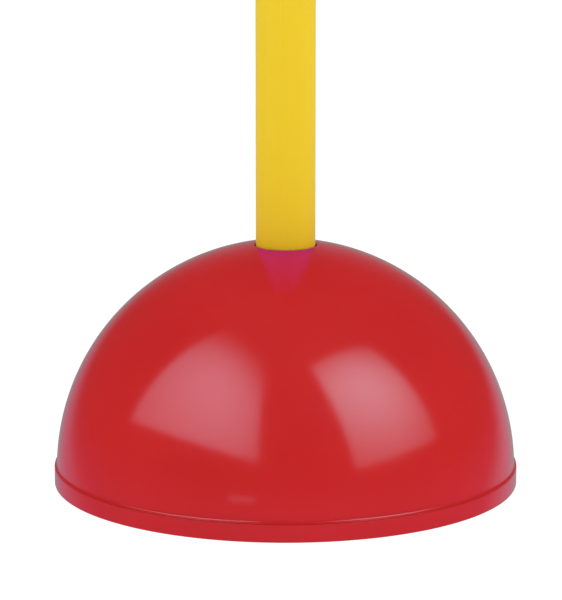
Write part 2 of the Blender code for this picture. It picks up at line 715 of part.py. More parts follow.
def make_pole_foot_plug(look):
    """The hard foot that stands in the cup, grooved for the grip ring."""
    head_top = POLE_BOTTOM + FOOT_HEAD_HEIGHT
    groove_floor = POLE_RADIUS + GRIP_RING_PROUD - GRIP_RING_THICKNESS - SEAT_GAP
    half_groove = GRIP_RING_THICKNESS / 2 + SEAT_GAP
    profile = [
        (0, POLE_BOTTOM),
        (POLE_RADIUS - FOOT_CHAMFER, POLE_BOTTOM),
        (POLE_RADIUS, POLE_BOTTOM + FOOT_CHAMFER),
        (POLE_RADIUS, GRIP_RING_HEIGHT - half_groove),
        (groove_floor, GRIP_RING_HEIGHT - half_groove),
        (groove_floor, GRIP_RING_HEIGHT + half_groove),
        (POLE_RADIUS, GRIP_RING_HEIGHT + half_groove),
        (POLE_RADIUS, head_top),
        (STEM_RADIUS, head_top),
        (STEM_RADIUS, head_top + STEM_LENGTH),
        (STEM_RADIUS - STEM_WALL, head_top + STEM_LENGTH),
        (STEM_RADIUS - STEM_WALL, head_top - STEM_WALL),
        (0, head_top - STEM_WALL),
    ]
    return turned("pole_foot_plug", profile, POLE_FACETS, look)


def make_pole_grip_ring(look):
    middle = POLE_RADIUS + GRIP_RING_PROUD - GRIP_RING_THICKNESS / 2
    centre, radius = (middle, GRIP_RING_HEIGHT), GRIP_RING_THICKNESS / 2
    section = arc(centre, radius, 0, 360, RING_SECTION_FACETS)[:-1]
    return turned("pole_grip_ring", section, POLE_FACETS, look)


def build():
    clear_scene()
    red = material("red_polypropylene", (197, 38, 36), 0.16)
    yellow = material("yellow_pvc", (234, 198, 48), 0.4)
    natural = material("natural_polypropylene", (214, 210, 198), 0.5)
    black = material("black_rubber", (28, 28, 29), 0.8)
    black_plastic = material("black_polyethylene", (34, 34, 36), 0.45)
    zinc = material("zinc_plated_steel", (176, 178, 182), 0.3, 1.0)
    sand = material("dry_sand", (196, 170, 126), 0.95)

    base = empty("base", (0, 0, 0))
    lift = empty("pole_lift_axis", (0, 0, 0), base)
    turn = empty("pole_turn_axis", (0, 0, 0), lift)
    travel = empty("plug_travel_axis", (0, FILLER_PLACE, 0), base)
    plug_turn = empty("plug_turn_axis", (0, 0, 0), travel)

    fixed = [
        make_dome_shell(red),
        make_base_tray(red),
        make_socket_tube(natural),
        make_rim_gasket(black),
        make_sand_ballast(sand),
        *make_base_screws(zinc),
        *make_rubber_feet(black),
    ]
    for piece in fixed:
        piece.parent = base
    make_pole_grip_ring(black).parent = lift
    for piece in (make_pole_tube(yellow), make_pole_top_cap(yellow), make_pole_foot_plug(black_plastic)):
        piece.parent = turn
    make_filler_seal(black).parent = travel
    make_filler_plug(black_plastic).parent = plug_turn


build()
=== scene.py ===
# %% [markdown]
# # An agility pole in a sand-filled dome base
#
# The object is a straight yellow pole that stands in the crown of a glossy red dome. The dome closes on a tray
# with a slim red band, and sand inside makes the base heavy. This notebook dresses the finished construction:
# it gives each piece its fine surface and its real finish, and lights it as in the photograph.
#
# The construction comes first as a fixed frame. Each later piece takes its place and main size from it, so
# nothing has to be fitted by eye.

import math

import bmesh
import bpy
import numpy as np
from mathutils import Matrix, Vector


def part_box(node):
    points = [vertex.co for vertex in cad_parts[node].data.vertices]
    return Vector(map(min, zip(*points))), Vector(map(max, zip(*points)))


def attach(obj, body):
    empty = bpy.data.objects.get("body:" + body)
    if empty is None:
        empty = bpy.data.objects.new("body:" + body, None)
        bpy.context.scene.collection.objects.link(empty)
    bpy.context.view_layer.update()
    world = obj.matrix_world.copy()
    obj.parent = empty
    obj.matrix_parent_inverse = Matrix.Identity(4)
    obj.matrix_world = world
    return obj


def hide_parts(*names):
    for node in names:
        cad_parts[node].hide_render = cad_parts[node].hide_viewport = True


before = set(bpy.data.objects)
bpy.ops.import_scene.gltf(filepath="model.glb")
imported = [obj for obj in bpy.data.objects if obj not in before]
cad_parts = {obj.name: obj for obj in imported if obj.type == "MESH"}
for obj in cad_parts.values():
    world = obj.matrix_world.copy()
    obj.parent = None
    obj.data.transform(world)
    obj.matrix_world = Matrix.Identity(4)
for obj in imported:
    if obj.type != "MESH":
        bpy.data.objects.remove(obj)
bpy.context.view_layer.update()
MM = 0.001
TURN = 2 * math.pi

# %% [markdown]
# ## The camera
#
# The photograph was taken from the front and a little above, with a long lens: the pole's sides run parallel.
# A 200 mm lens on a 36 mm frame gives that look. The camera could be placed by eye, but three measures place it
# exactly: how high it looks down, how far away it stands, and the point on the pole's axis that it aims at.

# %% Camera
LENS = 200.0
SENSOR = 36.0
LOOK_DOWN = math.radians(12.12)
DISTANCE = 1.4031
AIM = Vector((-0.001926, 0.0, 0.07876))

towards_camera = Vector((0, -math.cos(LOOK_DOWN), math.sin(LOOK_DOWN)))
camera = bpy.data.objects.new("camera", bpy.data.cameras.new("camera"))
camera.data.lens = LENS
camera.data.sensor_width = SENSOR
camera.location = AIM + towards_camera * DISTANCE
camera.rotation_euler = towards_camera.to_track_quat("Z", "Y").to_euler()
bpy.context.scene.collection.objects.link(camera)
bpy.context.scene.camera = camera
print("camera at", [round(x, 4) for x in camera.location])

# %% [markdown]
# ## Outlines, grids and pieces
#
# Nearly every piece here is turned: an outline of (radius, height) points goes once round an axis. A modeller
# could spin it by hand, but worked out with numpy the whole surface is one array of points, and fillets, threads
# and ribs are formulas on that array.
#
# `outline` rounds the corners of a drawn shape, `turned` carries it round, and `quads` joins the grid's points.

# %% Outlines with rounded corners
def outline(*corners, steps=6):
    """Outline of (radius, height, fillet) corners, each corner with a fillet becoming an arc.

    Between unit vectors a and b along the two sides, the arc starts fillet / tan(half angle) from the corner, and
    its centre lies fillet / sin(half angle) from it, along a + b. Its points run at equal angles.
    """
    places = np.array([corner[:2] for corner in corners], float)
    pieces = []
    for k, corner in enumerate(corners):
        here = places[k]
        if len(corner) < 3:
            pieces.append(here[None])
            continue
        a, b = places[k - 1] - here, places[(k + 1) % len(corners)] - here
        a, b = a / np.linalg.norm(a), b / np.linalg.norm(b)
        half = math.acos(np.clip(a @ b, -1, 1)) / 2
        centre = here + (a + b) / np.linalg.norm(a + b) * corner[2] / math.sin(half)
        first = here + a * corner[2] / math.tan(half) - centre
        last = here + b * corner[2] / math.tan(half) - centre
        start, end = math.atan2(first[1], first[0]), math.atan2(last[1], last[0])
        sweep = (end - start + math.pi) % TURN - math.pi
        angles = start + sweep * np.linspace(0, 1, steps + 1)
        pieces.append(centre + corner[2] * np.stack([np.cos(angles), np.sin(angles)], -1))
    return np.concatenate(pieces)


def arc(centre, radius, start, end, steps):
    """Points of a circle in the outline's plane between two angles in degrees."""
    angles = np.radians(np.linspace(start, end, steps + 1))
    return np.asarray(centre) + radius * np.stack([np.cos(angles), np.sin(angles)], -1)


def join(*parts):
    """One outline from several stretches and single points."""
    return np.concatenate([np.atleast_2d(np.asarray(part, float)) for part in parts])


print("an outline with one rounded corner:", len(outline((0, 0), (1, 0, 0.2), (1, 1))), "points")

# %% Surfaces from outlines
ROUND = 192  # columns round the base's large pieces
SLIM = 96  # columns round the pole, its socket and the filler


def turned(shape, columns=ROUND, place=(0.0, 0.0)):
    """Grid of an outline carried once round: x = px + r cos t, y = py + r sin t, z = height."""
    t = np.linspace(0, TURN, columns, endpoint=False)[:, None]
    r, z = shape[None, :, 0], shape[None, :, 1]
    return np.stack([place[0] + r * np.cos(t), place[1] + r * np.sin(t), z + 0 * t], -1)


def ring(grid):
    """A turned surface whose outline is a closed loop."""
    return grid, True, True


def rod(grid):
    """A turned surface whose outline starts and ends on its axis."""
    return grid, True, False


def bar(grid):
    """An extruded surface that its end rows close."""
    return grid, False, True


print("grid of a turned outline of 4 points:", turned(np.ones((4, 2))).shape)

# %% Faces and meshes
MERGE = 0.001 * MM  # points nearer to each other than this are one point


def quads(grid, wrap_rows, wrap_columns):
    """Faces of a grid: each joins a point to its neighbours one row and one column on."""
    rows, columns = grid.shape[:2]
    i, j = np.meshgrid(np.arange(rows - (not wrap_rows)), np.arange(columns - (not wrap_columns)), indexing="ij")
    up, on = (i + 1) % rows, (j + 1) % columns
    return np.stack([i * columns + j, up * columns + j, up * columns + on, i * columns + on], -1).reshape(-1, 4)


def mesh_of(name, surfaces):
    """One mesh from (grid, wrap_rows, wrap_columns) surfaces, with poles merged and faces turned outwards."""
    points, faces, count = [], [], 0
    for grid, wrap_rows, wrap_columns in surfaces:
        points.append(grid.reshape(-1, 3))
        faces.append(quads(grid, wrap_rows, wrap_columns) + count)
        count += grid.shape[0] * grid.shape[1]
    points, faces = np.concatenate(points), np.concatenate(faces)
    mesh = bpy.data.meshes.new(name)
    mesh.vertices.add(len(points))
    mesh.vertices.foreach_set("co", points.astype(np.float32).ravel())
    mesh.loops.add(faces.size)
    mesh.loops.foreach_set("vertex_index", faces.astype(np.int32).ravel())
    mesh.polygons.add(len(faces))
    mesh.polygons.foreach_set("loop_start", np.arange(0, faces.size, 4, dtype=np.int32))
    mesh.update(calc_edges=True)
    work = bmesh.new()
    work.from_mesh(mesh)
    bmesh.ops.remove_doubles(work, verts=work.verts, dist=MERGE)
    bmesh.ops.recalc_face_normals(work, faces=work.faces)
    work.to_mesh(mesh)
    work.free()
    return mesh


print("faces of that grid as a ring:", len(quads(turned(np.ones((4, 2))), True, True)))

# %% [markdown]
# ## Pieces, and tools that change them
#
# A moulded housing has bosses, ribs and holes on its turned body. Each of these is a small closed surface of its
# own. A Boolean joins it or cuts it out, as a machinist adds and removes material, and the result is one clean
# closed skin. Sharp edges are marked afterwards by their angle, so that flat faces stay flat in the light.

# %% Pieces and tools
SHARP = math.radians(34)


def smooth(mesh):
    """Smooth shading, with every edge that bends by more than SHARP kept sharp."""
    mesh.shade_smooth()
    mesh.set_sharp_from_angle(angle=SHARP)


def show(name, surfaces):
    """An object at the origin with the mesh of these surfaces."""
    mesh = mesh_of(name, surfaces)
    smooth(mesh)
    made = bpy.data.objects.new(name, mesh)
    bpy.context.scene.collection.objects.link(made)
    return made


def worked(piece, *steps):
    """Takes the tools to a piece: each step joins ("UNION") or cuts out ("DIFFERENCE") a set of surfaces."""
    tools = []
    for number, (operation, surfaces) in enumerate(steps):
        tool = show(f"{piece.name}_tool_{number}", surfaces)
        change = piece.modifiers.new(tool.name, "BOOLEAN")
        change.operation = operation
        change.object = tool
        tools.append(tool)
    bpy.context.view_layer.update()
    shape = bpy.data.meshes.new_from_object(piece.evaluated_get(bpy.context.evaluated_depsgraph_get()))
    piece.modifiers.clear()
    piece.data = shape
    for tool in tools:
        bpy.data.objects.remove(tool)
    smooth(piece.data)


def finished(node, body, slot, look, surfaces, *steps):
    """Makes a piece, works it with its tools, and puts it in the place of its CAD node, on that node's body."""
    piece = show(f"{node}_skin", surfaces)
    if steps:
        worked(piece, *steps)
    piece.data.materials.clear()
    piece.data.materials.append(look)
    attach(piece, body)
    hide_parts(node)
    print(f"{piece.name}: {len(piece.data.polygons)} faces")


print("edges stay sharp from", round(math.degrees(SHARP)), "degrees")

# %% [markdown]
# ## Colour and nodes
#
# Colours are written as the hex codes that a picture editor shows. The shader works in linear light, so one
# function changes them. One more function adds a node, sets its values and joins its inputs.
#
# A finish is then a few patterns, each with features of a real size. A pattern picks between two close tones or
# two roughness values, or raises the surface. One image could hold all of that, but it would need unwrapping and
# would blur close up, while a pattern worked out from the place in the piece stays sharp at any distance.

# %% Colour, nodes and plain material
def linear(code):
    """Linear colour of an sRGB hex code: s / 12.92 below 0.04045, else ((s + 0.055) / 1.055) to the 2.4."""
    levels = [int(code[k : k + 2], 16) / 255 for k in (1, 3, 5)]
    return (*[s / 12.92 if s <= 0.04045 else ((s + 0.055) / 1.055) ** 2.4 for s in levels], 1.0)


def node(tree, kind, inputs=None, **settings):
    """Adds a node. `inputs` maps a socket to a value or to another node's output; the rest are its own settings."""
    made = tree.nodes.new(kind)
    for name, value in settings.items():
        setattr(made, name, value)
    for socket, value in (inputs or {}).items():
        if isinstance(value, bpy.types.NodeSocket):
            tree.links.new(value, made.inputs[socket])
        else:
            made.inputs[socket].default_value = value
    return made


def plain(name, colour, roughness, ior=1.5, metallic=0.0):
    """A Principled material with its constants set. Returns the material, its tree, shader and coordinates."""
    look = bpy.data.materials.new(name)
    look.use_nodes = True
    look.diffuse_color = linear(colour)
    shader = look.node_tree.nodes["Principled BSDF"]
    shader.inputs["Base Color"].default_value = linear(colour)
    shader.inputs["Roughness"].default_value = roughness
    shader.inputs["IOR"].default_value = ior
    shader.inputs["Metallic"].default_value = metallic
    place = node(look.node_tree, "ShaderNodeTexCoord").outputs["Object"]
    return look, look.node_tree, shader, place


print("#808080 in linear light:", round(linear("#808080")[0], 3))

# %% Patterns
MIDDLE = (0.3, 0.7)  # noise hardly leaves this range
SHARE, FIRST, SECOND, MIXED = 0, 6, 7, 2  # sockets of a Mix node for colours, whose names aren't unique


def per(size):
    """Scale of a texture whose features have this size in millimetres."""
    return 1 / (size * MM)


def grain(tree, place, size, detail=2.0, stretch=(1, 1, 1)):
    """Noise from 0 to 1 with features of a size in millimetres, drawn out along the axes by `stretch`."""
    scaled = node(tree, "ShaderNodeMapping", {"Vector": place, "Scale": [1 / s for s in stretch]})
    noise = node(tree, "ShaderNodeTexNoise", {"Vector": scaled.outputs[0], "Scale": per(size), "Detail": detail})
    return noise.outputs["Fac"]


def vary(tree, shader, pattern, tones=None, roughness=None, depth=None, reach=MIDDLE):
    """Lets a pattern pick between two hex tones and two roughness values, and raise the surface in millimetres.

    The picks run from the first to the second value while the pattern crosses its reach.
    """
    ends = {"Value": pattern, "From Min": reach[0], "From Max": reach[1]}
    if tones:
        first, second = [linear(tone) for tone in tones]
        share = node(tree, "ShaderNodeMapRange", ends).outputs[0]
        mixed = node(tree, "ShaderNodeMix", {FIRST: first, SECOND: second, SHARE: share}, data_type="RGBA")
        tree.links.new(mixed.outputs[MIXED], shader.inputs["Base Color"])
    if roughness:
        level = node(tree, "ShaderNodeMapRange", {**ends, "To Min": roughness[0], "To Max": roughness[1]})
        tree.links.new(level.outputs[0], shader.inputs["Roughness"])
    if depth:
        bump = node(tree, "ShaderNodeBump", {"Height": pattern, "Distance": depth * MM, "Strength": 1.0})
        tree.links.new(bump.outputs["Normal"], shader.inputs["Normal"])


print("texture scale for features of 1 mm:", per(1))

# %% [markdown]
# ## Red polypropylene
#
# The shell and the tray are injection moulded in polypropylene, coloured through. Against a polished mould it
# comes out glossy, but its skin keeps a faint waviness, the orange peel, so reflections have soft edges. The
# colour shifts very little along the melt's flow. A clear coat could fake the gloss, but this plastic has none:
# one shader with a low, slightly uneven roughness is what it is.

# %% Material: glossy red polypropylene
def red_polypropylene(name, gloss, rough):
    """Moulded red polypropylene: the melt's flow tints it, and its skin and orange peel soften the gloss."""
    look, tree, shader, place = plain(name, "#C92121", gloss, ior=1.49)
    vary(tree, shader, grain(tree, place, 45, detail=1.0), tones=("#C72020", "#CB2222"))
    vary(tree, shader, grain(tree, place, 9, detail=3.0), roughness=(gloss, rough))
    vary(tree, shader, grain(tree, place, 2.6, detail=1.0), depth=0.0015)
    return look


DOME_RED = red_polypropylene("moulded_red_polypropylene_gloss", 0.13, 0.155)
TRAY_RED = red_polypropylene("moulded_red_polypropylene_tray", 0.15, 0.19)
print("reds:", DOME_RED.name, TRAY_RED.name)

# %% [markdown]
# ## Yellow PVC
#
# The pole is an extruded tube. The die leaves very faint lines along it, and the surface is satin: it shows an
# even colour without clear reflections. The top cap is moulded in a softer plastic of the same yellow.
#
# The photograph has one oddity: the dome mirrors the yellow pole in a faint violet. A reflection can't be painted
# on the dome, because it would stay there when the pole is lifted out. So the pole's colour asks which kind of
# ray looks at it, and answers a ray that comes from a reflection with violet. The mirrored pole also fades with
# its height above the dome.

# %% Material: extruded and moulded yellow
PAINTED_REFLECTION_FADES = (0.1, 0.21)  # heights on the pole between which its painted violet reflection fades to dark


def yellow_pvc(name, roughness, stretch):
    """Yellow PVC with lines drawn out along the tube. Reflected rays see a painted violet reflection instead of the
    yellow, darker higher up.
    """
    look, tree, shader, place = plain(name, "#EECB27", roughness, ior=1.53)
    shader.inputs["Specular IOR Level"].default_value = 0.09
    lines = grain(tree, place, 0.9, stretch=(1, 1, stretch))
    vary(tree, shader, lines, ("#EDCA25", "#EFCC29"), (roughness - 0.03, roughness + 0.04), depth=0.005)
    yellow = shader.inputs["Base Color"].links[0].from_socket
    # painted reflection: rays reflected off the dome see violet instead of the pole's yellow, fading to dark with
    # height
    height = node(tree, "ShaderNodeSeparateXYZ", {0: place}).outputs["Z"]
    low, high = PAINTED_REFLECTION_FADES
    fade = node(tree, "ShaderNodeMapRange", {"Value": height, "From Min": low, "From Max": high}).outputs[0]
    tones = {FIRST: linear("#8859E2"), SECOND: linear("#2A1420"), SHARE: fade}
    painted_violet_reflection = node(tree, "ShaderNodeMix", tones, data_type="RGBA").outputs[MIXED]
    mirrored = node(tree, "ShaderNodeLightPath").outputs["Is Glossy Ray"]
    answer = node(tree, "ShaderNodeMix", {FIRST: yellow, SECOND: painted_violet_reflection, SHARE: mirrored}, data_type="RGBA")
    tree.links.new(answer.outputs[MIXED], shader.inputs["Base Color"])
    return look


POLE_YELLOW = yellow_pvc("extruded_yellow_pvc", 0.46, 160)
CAP_YELLOW = yellow_pvc("moulded_yellow_pvc", 0.5, 1)
print("yellows:", POLE_YELLOW.name, CAP_YELLOW.name)

# %% [markdown]
# ## Hidden and dark materials
#
# Inside and underneath are cheaper finishes: a milky uncoloured tube, black polyethylene plugs, black nitrile
# rubber, zinc-plated screws and dry kiln sand. Each is one short function.

# %% Materials: tube, plugs, rubber, screws, sand
def natural_polypropylene():
    """Uncoloured extruded polypropylene: milky, satin, with faint lines along it."""
    look, tree, shader, place = plain("extruded_natural_polypropylene", "#DCD8CC", 0.42, ior=1.49)
    vary(tree, shader, grain(tree, place, 0.8, stretch=(1, 1, 80)), tones=("#D5D1C3", "#E2DED3"), depth=0.01)
    shader.inputs["Subsurface Weight"].default_value = 0.15
    shader.inputs["Subsurface Radius"].default_value = (0.004, 0.004, 0.003)
    return look


def black_polyethylene():
    """Moulded black polyethylene with the fine spark grain of its mould."""
    look, tree, shader, place = plain("moulded_black_polyethylene", "#232325", 0.45, ior=1.54)
    vary(tree, shader, grain(tree, place, 0.35, detail=3.0), roughness=(0.38, 0.55), depth=0.012)
    return look


def nitrile_rubber():
    """Moulded black nitrile rubber: dull, with a grey bloom in patches."""
    look, tree, shader, place = plain("moulded_nitrile_rubber", "#1D1D1E", 0.78, ior=1.52)
    vary(tree, shader, grain(tree, place, 6, detail=4.0), tones=("#191919", "#2B2B2C"), roughness=(0.7, 0.88))
    vary(tree, shader, grain(tree, place, 0.25), depth=0.015)
    return look


def zinc_plate():
    """Bright zinc plate on steel, slightly cloudy."""
    look, tree, shader, place = plain("bright_zinc_plated_steel", "#B4B7BD", 0.28, metallic=1.0)
    vary(tree, shader, grain(tree, place, 1.6, detail=3.0), tones=("#A9ADB6", "#C3C4C6"), roughness=(0.22, 0.38))
    vary(tree, shader, grain(tree, place, 0.3), depth=0.004)
    return look


def dry_sand():
    """Dry kiln sand: grains of about half a millimetre, drawn at 0.8 mm so that they show."""
    look, tree, shader, place = plain("dry_kiln_sand", "#C4A877", 0.95, ior=1.54)
    cells = node(tree, "ShaderNodeTexVoronoi", {"Vector": place, "Scale": per(0.8)})
    apart = node(tree, "ShaderNodeSeparateColor", {"Color": cells.outputs["Color"]})
    vary(tree, shader, apart.outputs[0], tones=("#A98B5C", "#DCC79B"), reach=(0, 1))
    vary(tree, shader, cells.outputs["Distance"], depth=-0.3)
    return look


NATURAL = natural_polypropylene()
BLACK_PLASTIC = black_polyethylene()
RUBBER = nitrile_rubber()
ZINC = zinc_plate()
SAND = dry_sand()
print("materials:", len(bpy.data.materials))

# %% [markdown]
# ## Sizes that several pieces share
#
# The frame gives the extents of each node. A few more sizes of the moulding are named here in millimetres: they
# are what the shell and the tray share, so that they meet at the seam with the dome's step behind the band.

# %% Shared sizes
def extent(name):
    """Radius, lowest and highest point of a round node."""
    low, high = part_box(name)
    return (high.x - low.x) / 2, low.z, high.z


GAP = 0.3 * MM  # between pieces that touch
RIM_RADIUS, UNDERSIDE, _ = extent("base_tray")
FLARE_RIM, SPIGOT_BOTTOM, _ = extent("dome_shell")
POLE_RADIUS, TUBE_BOTTOM, TUBE_TOP = extent("pole_tube")
SOCKET_OUTER, SOCKET_BOTTOM, SOCKET_TOP = extent("socket_tube")
SCREW_HEAD, SCREW_BOTTOM, SCREW_TOP = extent("base_screw_1")

BAND_HEIGHT = 7.56 * MM
SEAM = UNDERSIDE + BAND_HEIGHT
JOINT = 0.15 * MM  # the slit that shows between shell and tray
SHOULDER = SEAM + JOINT / 2
CENTRE_DROP = 2.0 * MM  # the dome's centre below the seam
STEP = 0.93 * MM  # from the rim in to the dome, level with the seam
DOME_CENTRE = SEAM - CENTRE_DROP
DOME_RADIUS = math.hypot(RIM_RADIUS - STEP, CENTRE_DROP)
DOME_WALL = 2.5 * MM
DOME_INSIDE = DOME_RADIUS - DOME_WALL
WALL_MIDDLE = DOME_RADIUS - DOME_WALL / 2
WEB = 2.0 * MM  # thickness of ribs and webs
SOCKET_INNER = POLE_RADIUS + 0.5 * MM
COLLAR_INNER = SOCKET_OUTER + GAP
COLLAR_OUTER = COLLAR_INNER + 2.5 * MM
SPIGOT_OUTER = extent("rim_gasket")[0]
SPIGOT_INNER = SPIGOT_OUTER - 2.0 * MM
SCREW_CIRCLE = sum(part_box("base_screw_1"), Vector()).x / 2
SCREW_SEAT = SCREW_BOTTOM + 2.3 * MM  # where a screw's head meets the tray
SCREW_BORE = 2.3 * MM
SIXTHS = [TURN * k / 6 for k in range(6)]


def height_at(radius, sphere):
    """Height of a sphere about the dome's centre: centre + sqrt(sphere^2 - radius^2)."""
    return DOME_CENTRE + np.sqrt(sphere**2 - radius**2)


SCREW_PLACES = [(SCREW_CIRCLE * math.cos(turn), SCREW_CIRCLE * math.sin(turn)) for turn in SIXTHS]
print("dome radius", round(DOME_RADIUS / MM, 2), "mm, seam", round(SEAM / MM, 2), "mm above the floor")

# %% [markdown]
# ## The dome shell
#
# The shell is one moulding: a half sphere with a hole in its crown, a collar round the hole that grips the
# socket tube, and a spigot that drops inside the tray's band. Its foot flares out to the band's face in a small
# hollow curve, and that curve catches the thin line of light just above the seam. Six bosses for the screws hang
# from the wall, each tied to it by a gusset. The sphere could be a primitive cut in half, but lip, flare and
# spigot belong to the same outline, so the whole wall is drawn once and turned.

# %% Dome outline
LIP = 0.6 * MM  # rounding of the crown hole's edge
FLARE_TOP = SHOULDER + 0.3 * MM  # top of the flared foot's upright edge
SEAM_EDGE = 0.1 * MM  # rounding of the two edges that meet at the seam
END = 0.4 * MM  # rounding of the collar's, the spigot's and the bosses' ends
TAPER_TOP = SHOULDER + 9.5 * MM
COLLAR_DEPTH = 13.0 * MM


def sphere_arc(sphere, start, end, steps):
    """Stretch of a sphere about the dome's centre between two outline points that lie on it."""
    angles = [math.degrees(math.atan2(z - DOME_CENTRE, r)) for r, z in (start, end)]
    return arc((0, DOME_CENTRE), sphere, *angles, steps)


def flare():
    """The foot's upright edge, its rounded corner and the hollow curve up into the sphere.

    The curve's lowest point is the foot's rim and it touches the sphere: with rim radius a, rim height d above the
    dome's centre and sphere radius R, its radius is (a^2 + d^2 - R^2) / (2 (R - d)).
    """
    rise = FLARE_TOP - DOME_CENTRE
    radius = (FLARE_RIM**2 + rise**2 - DOME_RADIUS**2) / (2 * (DOME_RADIUS - rise))
    height = FLARE_TOP + radius
    start = -90 - math.degrees(math.asin(SEAM_EDGE / radius))
    touch = math.degrees(math.atan2(DOME_CENTRE - height, -FLARE_RIM))
    return join(
        (FLARE_RIM, SHOULDER),
        arc((FLARE_RIM - SEAM_EDGE, FLARE_TOP - SEAM_EDGE), SEAM_EDGE, 0, 90, 3),
        arc((FLARE_RIM, height), radius, start, touch, 10),
    )


def dome_outline():
    """Flared foot, outer sphere, rounded lip, collar, inner sphere, tapered skirt and spigot, as one closed loop."""
    lip_centre = SOCKET_INNER + LIP, height_at(SOCKET_INNER + LIP, DOME_RADIUS - LIP)
    lip_angle = math.degrees(math.atan2(lip_centre[1] - DOME_CENTRE, lip_centre[0]))
    lip = arc(lip_centre, LIP, lip_angle, 180, 8)
    ledge = height_at(COLLAR_INNER, DOME_INSIDE)
    root = (COLLAR_OUTER, height_at(COLLAR_OUTER, DOME_INSIDE))
    taper = (math.sqrt(DOME_INSIDE**2 - (TAPER_TOP - DOME_CENTRE) ** 2), TAPER_TOP)
    collar = outline(
        (SOCKET_INNER, ledge),
        (COLLAR_INNER, ledge),
        (COLLAR_INNER, ledge - COLLAR_DEPTH, END),
        (COLLAR_OUTER, ledge - COLLAR_DEPTH, END),
        root,
    )
    spigot = outline(
        taper,
        (SPIGOT_INNER, SHOULDER),
        (SPIGOT_INNER, SPIGOT_BOTTOM, END),
        (SPIGOT_OUTER, SPIGOT_BOTTOM, END),
        (SPIGOT_OUTER, SHOULDER),
    )
    foot = flare()
    return join(
        foot,
        sphere_arc(DOME_RADIUS, foot[-1], lip[0], 80)[1:],
        lip[1:],
        collar,
        sphere_arc(DOME_INSIDE, root, taper, 36)[1:-1],
        spigot,
    )


print("dome outline:", len(dome_outline()), "points")

# %% Webs and posts
def about_axis(grid, turn):
    """The grid turned about the upright axis."""
    c, s = math.cos(turn), math.sin(turn)
    return grid @ np.array([[c, s, 0], [-s, c, 0], [0, 0, 1]])


def capped(*loops):
    """A closed bar through equal loops of points. A row at each end shrinks to its loop's middle and closes it."""
    first, last = [np.broadcast_to(loop.mean(0), loop.shape) for loop in (loops[0], loops[-1])]
    return bar(np.stack([first, *loops, last]))


def slab(shape, turn):
    """A flat web in the radial plane: an outline of (radius, height) points with the web's thickness across."""
    return capped(*[about_axis(np.insert(shape, 1, side * WEB / 2, axis=1), turn) for side in (-1, 1)])


def post(radius, low, high, place, *edge, columns=48):
    """A round post, as a pad or as a cutter. Its upper edge is rounded where a radius is given for it."""
    return rod(turned(outline((0, low), (radius, low), (radius, high, *edge), (0, high)), columns, place))


def in_wall(grid):
    """The same grid with every point above the middle of the dome's wall brought down onto it."""
    under = height_at(np.hypot(grid[..., 0], grid[..., 1]), WALL_MIDDLE)
    return np.concatenate([grid[..., :2], np.minimum(grid[..., 2], under)[..., None]], -1)


# %% Dome bosses, gussets and collar webs
BOSS = 4.5 * MM
BOSS_BOTTOM = 7.3 * MM
COLLAR_WEB_REACH = 17.0 * MM
COLLAR_WEB_DEPTH = 11.0 * MM


def boss(place):
    """A screw boss: a round post from under the rim, drawn too tall and then brought down into the wall."""
    shape = outline((0, BOSS_BOTTOM), (BOSS, BOSS_BOTTOM, END), (BOSS, RIM_RADIUS), (0, RIM_RADIUS))
    return rod(in_wall(turned(shape, 48, place)))


def gusset(turn):
    """A web from a boss out to the wall."""
    wall = (math.sqrt(WALL_MIDDLE**2 - (TAPER_TOP - DOME_CENTRE) ** 2), TAPER_TOP)
    crest = (SCREW_CIRCLE, height_at(SCREW_CIRCLE, WALL_MIDDLE))
    return slab(join((SCREW_CIRCLE, TAPER_TOP), sphere_arc(WALL_MIDDLE, wall, crest, 12)), turn)


def collar_web(turn):
    """A web from the collar out under the crown."""
    inner, outer = (COLLAR_INNER + COLLAR_OUTER) / 2, COLLAR_OUTER + COLLAR_WEB_REACH
    root, tip = [(r, height_at(r, WALL_MIDDLE)) for r in (inner, outer)]
    low = (inner, height_at(inner, DOME_INSIDE) - COLLAR_WEB_DEPTH)
    return slab(join(low, sphere_arc(WALL_MIDDLE, tip, root, 10)), turn)


print("bosses:", len(SCREW_PLACES), "on a radius of", round(SCREW_CIRCLE / MM, 2), "mm")

# %% Dome shell
finished(
    "dome_shell", "base", "red_shell", DOME_RED,
    [ring(turned(dome_outline()))],
    ("UNION", [boss(place) for place in SCREW_PLACES]),
    ("UNION", [gusset(turn) for turn in SIXTHS]),
    ("UNION", [collar_web(turn) for turn in SIXTHS]),
    ("DIFFERENCE", [post(SCREW_BORE, BOSS_BOTTOM - GAP, SCREW_TOP + GAP, p, columns=32) for p in SCREW_PLACES]),
)

# %% [markdown]
# ## The base tray
#
# The tray closes the dome. Its rim is the slim band that the photograph shows, one step wider than the dome.
# Underneath it is what such a moulding has: a wide ring land that takes the rubber feet and the screws, a small
# ring land in the middle, ribs between them and a filler opening. Inside, a cup holds the pole's foot.

# %% Tray outline
BAND_WALL = 3.0 * MM
BAND_CORNER = 0.5 * MM
FLOOR = 2.4 * MM  # floor thickness
RAISED = UNDERSIDE + 1.6 * MM  # ceiling of the ribbed middle
OUTER_LAND = RIM_RADIUS - 28.0 * MM
CENTRE_LAND = COLLAR_OUTER + GAP + 1.5 * MM
CENTRE_LAND_WIDTH = 3.0 * MM
CUP_TOP = RAISED + FLOOR + 12.0 * MM
CUP_EDGE = 0.5 * MM
EDGE = 0.3 * MM  # rounding of moulded edges


